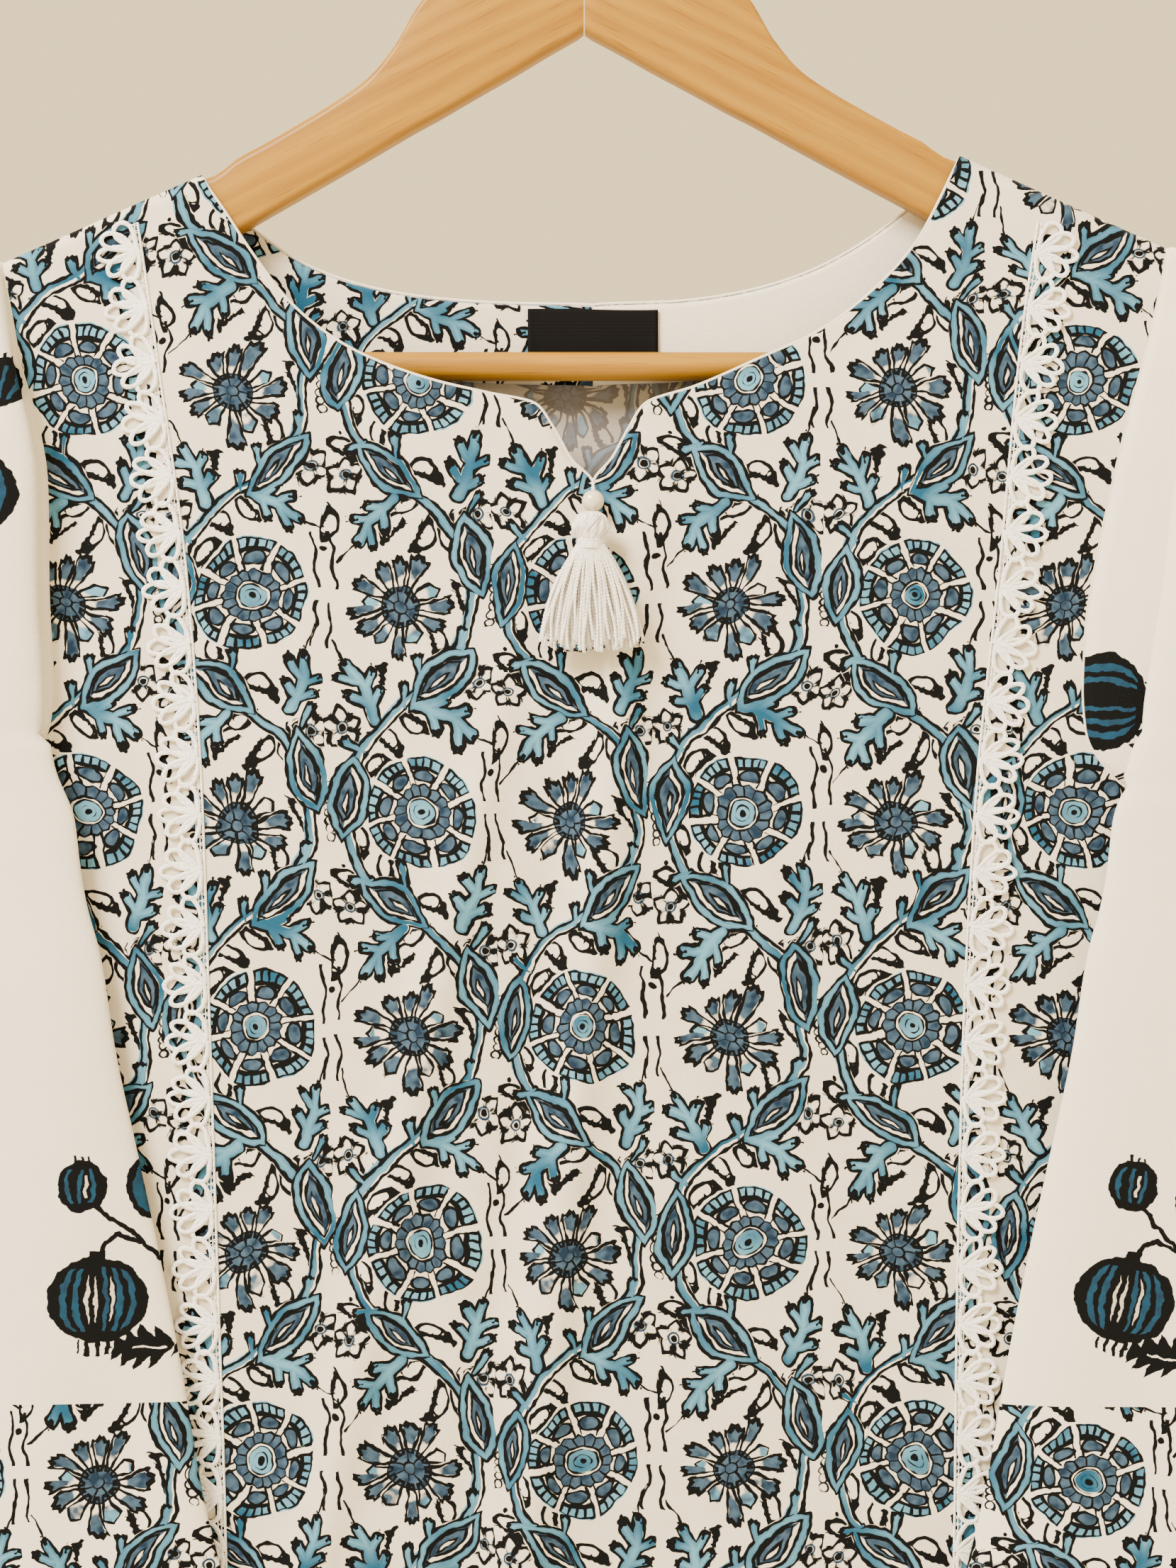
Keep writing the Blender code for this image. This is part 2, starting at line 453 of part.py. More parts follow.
def build_tassel(reach):
    """The tassel: a wound head, and two rows of strands rooted in the flare below it."""
    x0 = CENTRE_X - 0.8
    widest = max(TASSEL_HEAD["half_depth"])
    back = min(reach(x0 + x, drop) for drop in (TASSEL_DROP, 190, STRAND_END)
               for x in (-SKIRT_HALF_BOTTOM, -6, 0, 6, SKIRT_HALF_BOTTOM))
    y0 = back - GAP - widest
    angles = np.arange(12) * math.tau / 12
    corners = [(x0 + w * math.cos(a), y0 + d * math.sin(a), drop)
               for drop, w, d in zip(*TASSEL_HEAD.values()) for a in angles]
    rings = len(TASSEL_HEAD["drop"])
    faces = tube_faces(rings, 12, flip=False)
    faces += [list(range(11, -1, -1)), list(range(12 * rings - 12, 12 * rings))]
    head = closed_object("neck_tassel", corners, faces, "thread")
    corners, faces = [], []
    for layer in range(STRAND_ROWS):
        for i in range(STRANDS_IN_ROW):
            place = 2 * (i + 0.5 * layer + 0.25) / STRANDS_IN_ROW - 1
            depth = (2 * layer - 1) * STRAND_ROW_OFFSET * math.sqrt(1 - 0.85 * place ** 2)
            start = len(corners)
            for f in (0.0, 0.5, 1.0):
                spread = SKIRT_HALF_TOP + (SKIRT_HALF_BOTTOM - SKIRT_HALF_TOP) * f ** 1.2
                drop = STRAND_TOP + (STRAND_END - 3.2 * place ** 2 - STRAND_TOP) * f
                sway = 0.25 * math.sin(5 * f + 2.4 * i + layer)
                for corner in range(3):
                    turn = math.tau * corner / 3 + f
                    corners.append((x0 + place * spread + sway + STRAND_RADIUS * math.cos(turn),
                                    y0 + depth + STRAND_RADIUS * math.sin(turn),
                                    drop))
            faces += [[start + v for v in face] for face in tube_faces(3, 3, flip=False)]
            faces += [[start + 2, start + 1, start], [start + 6, start + 7, start + 8]]
    strands = closed_object("tassel_strands", corners, faces, "thread")
    strands.hide_render = True
    strands.display_type = "WIRE"
    union = head.modifiers.new("Strands", "BOOLEAN")
    union.operation, union.object, union.solver = "UNION", strands, "EXACT"
    return head


# ---------------------------------------------------------------- the trousers

def flat_ring(left, right, depth, drop, around):
    """A flattened ring round both layers, upright at its two folds."""
    turn = np.arange(around) * math.tau / around
    x = (left + right) / 2 - (right - left) / 2 * np.cos(turn)
    y = -depth * np.sign(np.sin(turn)) * np.abs(np.sin(turn)) ** FLAT_RING_POWER
    return np.stack([x, y, np.full(around, drop)], axis=-1)


def build_belt(around=24):
    """The trousers' upper piece: a flattened tube, open at both ends."""
    rings = [flat_ring(-w, w, d, drop, around) for drop, w, d in zip(*BELT.values())]
    faces = tube_faces(len(rings), around, flip=True)
    return sheet_object("salwar_belt", np.concatenate(rings), faces, TRIM_WALL, "white cotton")


def build_leg(side, around=16):
    """A leg: its rings are open at the centre seam above the crotch and closed below it."""
    sign = SIDES[side]
    corners, faces, rings = [], [], []
    for drop, inner, outer, depth in zip(*LEG.values()):
        turn = np.arange(around + 1) * math.tau / around
        x = (inner + outer) / 2 - (outer - inner) / 2 * np.cos(turn)
        y = -depth * np.sign(np.sin(turn)) * np.abs(np.sin(turn)) ** FLAT_RING_POWER
        if drop < CROTCH_DROP:
            y[0], y[-1] = -depth, depth
            x[0] = x[-1] = inner
        ring = list(range(len(corners), len(corners) + around))
        corners += [(sign * x[i], y[i], drop) for i in range(around)]
        if drop < CROTCH_DROP:
            ring.append(len(corners))
            corners.append((sign * x[-1], y[-1], drop))
        else:
            ring.append(ring[0])
        rings.append(ring)
    for upper, lower in zip(rings[:-1], rings[1:]):
        for i in range(around):
            quad = [upper[i], upper[i + 1], lower[i + 1], lower[i]]
            faces.append(quad if sign < 0 else quad[::-1])
    return sheet_object(f"salwar_leg_{side}", corners, faces, TRIM_WALL, "white cotton")


def build_cuff(side, around=16):
    """The band at the foot of a leg."""
    sign = SIDES[side]
    rings = [flat_ring(min(sign * a, sign * b), max(sign * a, sign * b), d, drop, around)
             for drop, a, b, d in zip(*CUFF.values())]
    faces = tube_faces(len(rings), around, flip=True)
    return sheet_object(f"salwar_cuff_{side}", np.concatenate(rings), faces, TRIM_WALL,
                        "white cotton")


def build_tape(side):
    """A tape over the bar, both ends inside the trousers' belt."""
    sign = SIDES[side]
    radius = BAR_RADIUS + GAP + TAPE_WALL / 2
    steps = 8
    arc = [(math.pi * i / steps) for i in range(steps + 1)]
    path = [(-radius, TAPE_END)]
    path += [(-radius * math.cos(a), BAR_DROP - radius * math.sin(a)) for a in arc]
    path += [(radius, TAPE_END)]
    corners = [(sign * TAPE_X + edge, y, drop)
               for y, drop in path for edge in (-TAPE_HALF_WIDTH, TAPE_HALF_WIDTH)]
    faces = grid_faces(len(path), 2, flip=False)
    return sheet_object(f"hanger_loop_{side}", corners, faces, TAPE_WALL, "white cotton")


# ---------------------------------------------------------------- the hanger

def build_arm(side):
    """Half of the wooden hanger: rounded sections outward from the glued centre. Beyond the
    neck its top follows the shoulder seam, a little below it."""
    sign = SIDES[side]
    neck = abs(FRONT[f"{side}_in_x"][0])
    corners = []
    for x, top, bottom in zip(*ARM.values()):
        tilt = -sign * ARM_TILT * x
        under_seam = float(shoulder_drop(sign * x)) + SEAT
        beyond = ramp(x, neck - 14, neck + 2)
        end = max(0.0, x - 190.0)
        top = (top + tilt) * (1 - beyond) + (under_seam + 0.05 * end ** 2) * beyond
        bottom = bottom + tilt * (1 - ramp(x, 172, 186))
        depth = ARM_HALF_DEPTH - 2.4 * ramp(x, 187, 205)
        r = min(ARM_EDGE_RADIUS, depth - 0.2)
        for cy, cd, first in ((depth - r, top + r, 0), (depth - r, bottom - r, 1),
                              (-depth + r, bottom - r, 2), (-depth + r, top + r, 3)):
            for step in range(3):
                a = math.pi / 2 * (first - 1 + step / 2)
                corners.append((sign * x, cy + r * math.cos(a), cd + r * math.sin(a)))
    around, rings = 12, len(ARM["x"])
    faces = tube_faces(rings, around, flip=False)
    faces += [list(range(around - 1, -1, -1)), list(range(around * (rings - 1), around * rings))]
    if sign > 0:
        faces = [face[::-1] for face in faces]
    return closed_object(f"hanger_arm_{side}", corners, faces, "wood")


def build_bar():
    """The round bar between the arms' heels."""
    mesh = bmesh.new()
    bmesh.ops.create_cone(mesh, cap_ends=True, segments=16, radius1=BAR_RADIUS * MM,
                          radius2=BAR_RADIUS * MM, depth=2 * BAR_HALF_LENGTH * MM)
    turned = [(v.co.z, v.co.x, v.co.y) for v in mesh.verts]
    for v, (x, y, z) in zip(mesh.verts, turned):
        v.co = Vector((x, y, z)) + to_world((0, 0, BAR_DROP))
    bmesh.ops.recalc_face_normals(mesh, faces=mesh.faces)
    return mesh_object("hanger_bar", mesh, "wood")


def hook_path():
    """The wire's centre line as (x, drop, radius): collar, shank, bend, then the open hook."""
    radius = HOOK_INNER_RADIUS + HOOK_WIRE_RADIUS
    centre = -APEX_TO_ORIGIN + HOOK_INNER_RADIUS
    base = -NECK_RISE - GAP
    path = [(0, base, HOOK_COLLAR_RADIUS), (0, base - 3.5, HOOK_COLLAR_RADIUS),
            (0, base - 4.5, HOOK_WIRE_RADIUS)]
    first = math.radians(-50)
    join = np.array([radius * math.cos(first), centre - radius * math.sin(first)])
    lead = np.array([-math.sin(first), -math.cos(first)])
    low = np.array([0.0, base - 12.0])
    for f in np.linspace(0, 1, 7):
        bend = ((1 - f) ** 3 * low + 3 * f * (1 - f) ** 2 * (low + (0, -7.0))
                + 3 * f * f * (1 - f) * (join - 8.0 * lead) + f ** 3 * join)
        path.append((bend[0], bend[1], HOOK_WIRE_RADIUS))
    for angle in np.radians(np.arange(-35, 206, 15)):
        path.append((radius * math.cos(angle), centre - radius * math.sin(angle),
                     HOOK_WIRE_RADIUS))
    return path


def build_hook(around=6):
    """The hook: the wire's rings along its centre line, square to it."""
    path = np.array(hook_path())
    line = path[:, :2]
    along = np.gradient(line, axis=0)
    along[0] = along[1] = along[2] = (0, -1)
    along /= np.linalg.norm(along, axis=1, keepdims=True)
    corners = []
    for (x, drop, radius), (dx, dd) in zip(path, along):
        for i in range(around):
            a = math.tau * i / around
            corners.append((x + radius * math.cos(a) * -dd, radius * math.sin(a),
                            drop + radius * math.cos(a) * dx))
    rings = len(path)
    faces = tube_faces(rings, around, flip=True)
    faces += [list(range(around)), list(range(around * rings - 1, around * (rings - 1) - 1, -1))]
    return closed_object("hanger_hook", corners, faces, "steel")


# ---------------------------------------------------------------- meshes and materials

def to_world(point):
    """A table's x, y and drop in metres, with +Z up."""
    x, y, drop = point
    return Vector((x * MM, y * MM, -(drop + APEX_TO_ORIGIN) * MM))


def grid_faces(rows, columns, flip):
    """Quads of a grid stored row by row."""
    faces = [[j * columns + i, j * columns + i + 1, (j + 1) * columns + i + 1,
              (j + 1) * columns + i] for j in range(rows - 1) for i in range(columns - 1)]
    return [face[::-1] for face in faces] if flip else faces


def welded(corners, faces):
    """The same faces with corners that fall together made one, and faces without width gone."""
    kept, index = np.unique(np.round(corners, 3), axis=0, return_inverse=True)
    index = index.reshape(-1)
    slim = [list(dict.fromkeys(int(index[i]) for i in face)) for face in faces]
    return kept, [face for face in slim if len(face) > 2]


def tube_faces(rings, around, flip):
    """Quads of a tube stored ring by ring."""
    faces = [[j * around + i, j * around + (i + 1) % around,
              (j + 1) * around + (i + 1) % around, (j + 1) * around + i]
             for j in range(rings - 1) for i in range(around)]
    return [face[::-1] for face in faces] if flip else faces


def material(name):
    """The named material, made once."""
    if name in bpy.data.materials:
        return bpy.data.materials[name]
    colour, roughness, metallic = COLOURS[name]
    made = bpy.data.materials.new(name)
    made.use_nodes = True
    shader = made.node_tree.nodes["Principled BSDF"]
    linear = [(c / 12.92) if c <= 0.04045 else ((c + 0.055) / 1.055) ** 2.4 for c in colour]
    shader.inputs["Base Color"].default_value = (*linear, 1.0)
    shader.inputs["Roughness"].default_value = roughness
    shader.inputs["Metallic"].default_value = metallic
    return made


def mesh_object(name, mesh, material_name):
    """An object of a finished bmesh, in the scene."""
    data = bpy.data.meshes.new(name)
    mesh.to_mesh(data)
    mesh.free()
    data.materials.append(material(material_name))
    data.shade_smooth()
    data.set_sharp_from_angle(angle=math.radians(40))
    obj = bpy.data.objects.new(name, data)
    bpy.context.scene.collection.objects.link(obj)
    return obj


def closed_object(name, corners, faces, material_name):
    """A closed solid of table points and faces."""
    mesh = bmesh.new()
    made = [mesh.verts.new(to_world(corner)) for corner in corners]
    for face in faces:
        mesh.faces.new([made[i] for i in face])
    bmesh.ops.recalc_face_normals(mesh, faces=mesh.faces)
    return mesh_object(name, mesh, material_name)


def sheet_object(name, corners, faces, wall, material_name):
    """A cloth piece: a sheet at the middle of the wall, thickened both ways."""
    mesh = bmesh.new()
    made = [mesh.verts.new(to_world(corner)) for corner in corners]
    for face in faces:
        mesh.faces.new([made[i] for i in face])
    obj = mesh_object(name, mesh, material_name)
    thicken = obj.modifiers.new("Wall", "SOLIDIFY")
    thicken.thickness = wall * MM
    thicken.offset = 0.0
    return obj


# ---------------------------------------------------------------- the whole suit

FRONT_ROWS = (0, 0.006, 0.018, 0.04, 0.07, 0.11, 0.17, 0.23, 0.28, 0.32, 0.35, 0.38, 0.41, 0.44,
              0.47, 0.5, 0.53, 0.565, 0.6, 0.64, 0.69, 0.74, 0.79, 0.83, 0.86, 0.9, 0.95, 1.0)
BACK_ROWS = (0, 0.006, 0.018, 0.04, 0.07, 0.11, 0.17, 0.23, 0.29, 0.35, 0.41, 0.44, 0.47, 0.5,
             0.53, 0.565, 0.6, 0.66, 0.75, 0.83, 0.86, 0.93, 1.0)
SLEEVE_SEAM_PLACES = tuple(row / ARMHOLE_END for row in (
    0, 0.012, 0.04, 0.07, 0.11, 0.17, 0.23, 0.32, 0.41, 0.44, 0.47, 0.5, 0.53, 0.565, 0.6))
SLEEVE_DROPS = (292, 302, 318, 345, 385, 440, 520, 602)


def main():
    """Clear the scene and build every piece."""
    for obj in list(bpy.data.objects):
        bpy.data.objects.remove(obj, do_unlink=True)
    front = build_panel("kameez_front", FRONT, -1, FRONT_ROWS, 9, NOTCH_END)
    back = build_panel("kameez_back", BACK, 1, BACK_ROWS, 8, BACK_NECK_END)
    bpy.context.view_layer.update()
    front_face, back_face = surface_below(front), surface_below(back)
    facings = [build_facing(side, back_face) for side in SIDES]
    bpy.context.view_layer.update()
    build_label([surface_below(facing) for facing in facings])
    build_pearl(front_face)
    build_tassel(front_face)
    for side in SIDES:
        build_sleeve(side, SLEEVE_SEAM_PLACES, SLEEVE_DROPS)
        build_lace(side, front_face)
        build_arm(side)
        build_tape(side)
        build_leg(side)
        build_cuff(side)
    build_bar()
    build_hook()
    build_belt()


main()
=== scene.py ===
"""Looks of a block-printed cotton salwar kameez suit that hangs flat on a wooden hanger.

Every piece is a surface worked out with numpy from the tables below. Table values are in
millimetres: x from the middle, drop down from the lowest corner of the hanger's arms. They become
metres in the frame's axes: X to the viewer's right, Y away from the viewer and Z up.
"""
import functools
import math

import bmesh
import bpy
import mathutils
import numpy as np
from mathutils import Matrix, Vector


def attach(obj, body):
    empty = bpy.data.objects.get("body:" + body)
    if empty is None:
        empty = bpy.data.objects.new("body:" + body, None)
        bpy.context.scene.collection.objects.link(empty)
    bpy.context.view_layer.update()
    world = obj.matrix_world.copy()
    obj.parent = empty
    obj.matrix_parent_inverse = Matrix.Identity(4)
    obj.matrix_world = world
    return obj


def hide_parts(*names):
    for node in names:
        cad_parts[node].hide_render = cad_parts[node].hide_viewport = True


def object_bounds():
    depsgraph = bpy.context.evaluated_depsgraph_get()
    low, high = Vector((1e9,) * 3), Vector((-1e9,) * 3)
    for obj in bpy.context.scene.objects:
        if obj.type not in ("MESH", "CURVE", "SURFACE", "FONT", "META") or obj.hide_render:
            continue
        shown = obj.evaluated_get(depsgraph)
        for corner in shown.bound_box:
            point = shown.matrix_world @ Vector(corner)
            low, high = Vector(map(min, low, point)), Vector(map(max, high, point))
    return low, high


bl_info = {
    "name": "Salwar Kameez Suit",
    "version": (1, 0, 0),
    "blender": (4, 5, 0),
    "location": "View3D > Sidebar > Suit",
    "description": "Dresses the solids of a printed cotton suit on a wooden hanger",
    "category": "Object",
}

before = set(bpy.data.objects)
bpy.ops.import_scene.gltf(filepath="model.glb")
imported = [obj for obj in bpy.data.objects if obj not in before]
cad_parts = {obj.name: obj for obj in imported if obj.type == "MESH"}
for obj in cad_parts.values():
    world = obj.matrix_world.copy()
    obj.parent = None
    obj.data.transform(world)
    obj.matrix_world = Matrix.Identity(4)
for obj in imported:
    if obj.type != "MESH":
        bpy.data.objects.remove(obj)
cad_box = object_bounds()

MM = 0.001
SHARP_FROM = 50              # degrees between two faces, past which their edge is sharp
WELD, LEAST_EDGE = 1e-5, 1e-6           # metres: points this close are joined
BODY = "root"
SIDES = {"left": -1, "right": 1}
HOOK_ABOVE = 120.0           # the frame's origin above the table's zero drop


def rows_of(count, rows):
    """Rows of so many numbers each."""
    return np.array(rows.split(), dtype=float).reshape(-1, count)


def table(names, rows):
    """A short table, row after row, read by column: each name gives an array down the rows."""
    names = names.split()
    return dict(zip(names, rows_of(len(names), rows).T))


# ------------------------------------------------------------ the suit's sizes
# Body panels. Row is the place down a panel: 0 the shoulder seam, 1 the hem. The inner edge runs
# down the neckline and the notch to the centre line, the outer edge down the armhole to the
# underarm and the side. The left and right halves differ, as the suit hangs a little askew.
PANEL = "row left_in_x left_in right_in_x right_in left_out_x left_out right_out_x right_out"
SKIRT = """
    0.6 3 250 3 250 -244 285 244 285
    0.64 3 290 3 290 -245.5 304 245.5 304
    0.7 3 350 3 350 -244 355 244 355
    0.76 3 430 3 430 -243 432 243 432
    0.82 3 520 3 520 -248 521 248 521
    0.86 3 590 3 590 -255 590 255 590
    0.93 3 780 3 780 -268 780 268 780
    """
FRONT = table(PANEL, """
    0 -131 49 128.5 42.4 -198.5 79 198.8 74
    0.03 -127.5 55 125.3 49.6 -197.2 86 197.4 81.5
    0.06 -123 61.5 121.8 57 -195.2 96 195.4 91.5
    0.11 -113.5 76 113 73 -191.7 114 191.2 109
    0.17 -99 94.5 98.5 89 -185 137 185.4 130
    0.23 -78.6 109.5 80 103 -182.3 154.5 180.2 151
    0.28 -51.8 119.8 58 113.2 -181.8 172 175.5 172
    0.32 -32.8 124.3 38 122 -181.6 188 172.3 188
    0.35 -17 127.8 21 127.8 -181.2 200 170.3 200
    0.38 -10.6 136 15.4 136 -180.4 212 169.3 213
    0.41 -4.4 147 9.6 146.5 -179.8 224 168.8 226
    0.44 3 155.8 3 155.8 -181 237 169.9 240
    0.48 3 172 3 172 -189 252 179 255
    0.52 3 192 3 192 -206 267 200 269
    0.56 3 218 3 218 -227 278 225 279
    """ + SKIRT + "1 3 1050 3 1050 -280 1048 280 1048")
# The back has a shallow neckline, and armholes that scoop in less than the front's.
BACK = table(PANEL, """
    0 -131 49 128.5 42.4 -198.5 79 198.8 74
    0.03 -127.5 53.5 125 46.5 -198 86 198.2 81.5
    0.06 -122.5 58.5 120.5 51 -197.2 96 197.4 91.5
    0.11 -112 67.5 111 59.5 -195.6 114 195.6 109
    0.17 -96 78 94.5 71.5 -193 137 193 130
    0.23 -75 85.5 76 81 -191.4 154.5 191 151
    0.28 -52 89.5 54 87.5 -190.4 172 189.6 172
    0.32 -28 91.2 32 90.6 -190 188 188.8 188
    0.35 3 92 3 92 -190 200 188.5 200
    0.41 3 120 3 120 -191 224 189.5 226
    0.48 3 160 3 160 -199 252 197 255
    0.52 3 186 3 186 -212 267 209 269
    0.56 3 216 3 216 -229 278 228 279
    """ + SKIRT + "1 3 1052 3 1052 -280 1050 280 1050")
ARMHOLE_END = 0.60           # the row at the underarm
SIDE_CLOSES = 0.47           # the row where the panels begin to turn in to the side seam
SLIT_TOP = 0.86              # the row where the side seams open into slits
SLIT_EASES, SLIT_LIFT = 0.04, 0.6       # below it the edges turn in less, over so many rows and
                             # by this share
NOTCH_END = 0.44             # the row at the bottom of the notch
BACK_NECK_END = 0.35         # the row where the back neckline reaches the centre

# How far from the suit's middle plane the panels hang.
HANG = table("drop front back", """
    40 7.9 9.2
    90 8.4 9.6
    120 10.5 10.4
    160 12.6 12
    230 15 14.5
    300 17 16.5
    600 17 16.5
    1052 17 16
    """)

# Soft vertical folds: x at the top and the bottom of the fold, the drops over which it grows to
# its full height, its height (forward is positive) and its half width.
FOLDS = table("x_top x_bottom from to height width", """
    -12 -44 150 300 4.2 8
    23 12 130 230 5.4 8.5
    4 -16 170 330 -2.2 9
    -205 -222 600 1050 7 26
    -72 -84 480 1050 5 20
    72 78 460 1050 5 20
    200 216 610 1050 6.5 27
    -165 -178 590 1050 -4 20
    166 170 590 1050 -4 20
    """)
BACK_FOLDS = table("x_top x_bottom from to height width", """
    -60 -84 260 900 5 20
    48 66 240 900 5.5 22
    -4 -8 300 1000 -3 20
    -160 -190 420 1050 6.5 26
    158 182 460 1050 6 25
    """)
# Small creases in the pressed cloth: both ends, the height (forward is positive) and half width.
CREASES = table("x_a drop_a x_b drop_b height width", """
    -148 96 -126 100 0.9 3
    -140 104 -118 107 -0.6 3
    142 254 166 259 0.9 3.5
    60 122 84 131 0.7 3
    22 140 40 150 0.8 3
    18 150 46 168 -0.6 4
    92 170 104 236 0.7 6
    -96 200 -88 300 0.7 7
    60 260 72 380 0.8 8
    -150 300 -140 420 0.7 9
    """)

# Level slices through a sleeve, by their drop below the shoulder's tip: where the outer fold lies
# and how far forward, and how far the front and the back layer stand off the straight line.
SLEEVE = table("below out_x out_y front back", """
    0 201.5 0 4 4
    6 220 1 9 10
    19 237 2.5 13 14
    41 253 5.5 14.5 17
    69 265 9 15 18
    101 273 12 15 17
    137 279 15 14.5 14
    183 284 18 12 10
    206 286 19.5 10.5 8
    239 288 21 9.5 7
    301 291 23 9 6
    436 297 25 8.5 5.5
    525 299 25.5 8.5 5.5
    """)
# The sleeve's inner fold, where the slack under the arm is tucked behind its front layer.
TUCK = table("drop x", """
    238 181
    252 178.5
    269 172
    285 170
    297 168
    316 163
    348 158
    376 152
    413 144
    459 135
    495 129
    524 122
    602 104
    """)
# The pleat beside the armhole: how far outside the seam the front layer's fold stands.
PLEAT = table("drop left right", """
    72 0 0
    96 1 10
    128 1.6 17
    164 2.2 20.5
    196 2.6 23.5
    225 2.4 20.5
    240 1.6 18
    250 0.8 8.5
    257 0 0
    """)
PLEAT_DEEP, PLEAT_UNDER = 9.0, 3.5      # how far the pleat runs on, out and forward, underneath
PLEAT_FULL_LEAD = 6.0        # a fold this far outside the seam has its full pleat
PLEAT_FROM, PLEAT_FULL = 84.0, 130.0    # the drops over which its fold comes forward
PLEAT_REACH = 0.95           # how far forward it comes, as a share of the inner fold's place
FLATTER, FLATTER_TO = 0.35, (262, 340)  # how much flatter the front layer lies below the pleat's
                             # top, and the drops over which it swells again
TUCK_STEPS, TURN_AT = 3, 6   # points in each span of a tuck, and in those before its turn
LEAST_TUCK = 2.5             # a slice with less slack than this has no tuck
TUCK_FORWARD = 25.5          # how far forward the inner fold lies
TUCK_LIES = 20.4             # how far forward the tuck lies over the panel's front
RIGHT_SLEEVE_OUT = 6.5       # the right sleeve's inner fold lies this much further out
SLEEVE_KNEE_X = 247.0        # where the back layer leaves the underarm, clear of the side seam
SLEEVE_HUNG = 335.0          # the drop where the back layer has come in front of the side seam
SLEEVE_FRONT_STEPS, SLEEVE_BACK_STEPS = 40, 20
SLEEVE_HEM_STITCH = 590.0    # the drop of the sleeves' hem stitches
# Where each sleeve lies on the printed cloth: added to its own cut. The right one lies a whole
# number of stripes further on, so that each has its own place for the big pods.
SLEEVE_PRINT = {"left": np.array([156.5, -74.5]), "right": np.array([169.9, -4.5])}

# The lace's inner edge, where it meets the panel's middle.
LACE = table("drop left_x right_x", """
    40 -156 158.5
    110 -145.5 148.1
    186 -134.8 140.6
    261 -129.3 132.5
    340 -126.6 128.2
    437 -123.5 125.9
    501 -121.5 125.2
    780 -116 120
    1050 -112 116
    """)
LACE_PITCH, LACE_TOP, LACE_BOTTOM = 19.2, 66.0, 1047.0
# Its narrow net: the radius of its threads, how far apart its rungs and its rails' points are,
# and each rail's place out from the inner edge with its radius.
LACE_NET, LACE_RUNGS, LACE_RAIL_STEP = 0.2, 1.2, 1.6
LACE_RAILS = ((0.25, 0.42), (1.5, LACE_NET), (2.7, LACE_NET))
LACE_FANS_FROM = 1.5         # how far out the fans begin
# One fan of the lace: five petals spread from the inner edge, by their turn from straight out in
# degrees, their length and their width, and how high each lies over its neighbours.
PETALS = table("turn length width height", """
    -60 11.4 5.2 0.1
    -29 12.8 4.7 0.4
    0 13.6 4.8 0
    29 12.6 4.6 0.45
    61 10.6 5.4 0.15
    """)

# The hanger's arms, outward from the glued centre: the wood's upper and lower edge.
ARM = table("x top bottom", """
    0.2 -58 0.5
    12 -57 7
    24 -52 14
    34 -43 19.5
    42 -32 24
    50 -19 28.5
    57.6 -9.2 32.5
    65 3.5 36.7
    74.3 14.5 42
    85 22 48
    96.7 29 54.5
    112 37.5 63
    130 46 73.5
    150 55 85
    170 64 97
    180 68.5 103
    187 71.5 121
    195 76 123
    201 82 120
    205 90 112
    """)
NECK_RISE, HOOK_INNER_RADIUS, HOOK_WIRE_RADIUS, HOOK_COLLAR_RADIUS = 58.0, 19.0, 2.1, 6.0
ARM_HALF_DEPTH, ARM_EDGE_RADIUS, ARM_TILT = 6.0, 3.2, 0.019
ARM_LEVEL_FROM, ARM_LEVEL_TO = 172, 186 # where the lower edge stops following the tilt
ARM_THINS_FROM, ARM_TIP, ARM_THINNER = 187, 205, 2.4    # the tip's half depth is this much less
ARM_ROUND_FROM, ARM_ROUND = 190.0, 0.05 # the tip's top falls by the square of the way past it
ARM_EASE, ARM_EASE_LONG = 0.35, 0.8     # its inner end is this much smaller, over such a length
BAR_RADIUS, BAR_DROP, BAR_HALF_LENGTH = 4.95, 114.2, 181.7

# Trousers: flattened rings, as the drop, the inner and outer fold and the half depth.
BELT = table("drop half_width depth", """
    168 150 8.2
    190 153 8.2
    230 166 8
    290 184 7.6
    347.7 198 7
    """)
LEG = table("drop in_x out_x depth", """
    348.2 0.3 198 7
    400 0.3 206 7
    450 0.3 212 6.8
    472 1 213 6.6
    540 5 212 6.4
    660 11 209 6.2
    800 17 204 6
    940 22 198 5.8
    1070 26 192 5.6
    """)
CUFF = table("drop in_x out_x depth", """
    1070.5 26 192 5.6
    1092 26.5 191 5.5
    1115 27 190 5.4
    """)
CROTCH_DROP = 471.0
FLAT_RING_POWER = 0.4        # under 1, the layers lie flatter and turn more tightly at the folds
TAPE_X, TAPE_HALF_WIDTH, TAPE_WALL, TAPE_END, TAPE_STEP = 108.0, 6.0, 1.0, 186.0, 1.2

# Tassel: a wound head and neck above a flat skirt, as the drop and the half sizes.
TASSEL_HEAD = table("drop half_width half_depth", """
    165.75 3 2.8
    167.4 5.2 4.8
    171 6.4 5.6
    174 5.2 4.8
    175.6 4.4 4.2
    177.4 4.5 4.2
    181 6.8 4.8
    186 9.6 5.2
    """)
TASSEL_DROP = 171.4          # the head's widest part
TASSEL_NECK = 177.4          # where the head goes on down inside its skirt
STRAND_TOP, STRAND_END = 176.6, 211.5
STRAND_LEVEL = 184.0         # the drop where a strand's two plies lie side by side
SKIRT_HALF_TOP, SKIRT_HALF_BOTTOM = 4.3, 16.8
NECK_THREAD = {"from": 175.0, "long": 3.0, "turns": 5, "width": 4.5, "depth": 4.3, "radius": 0.4}

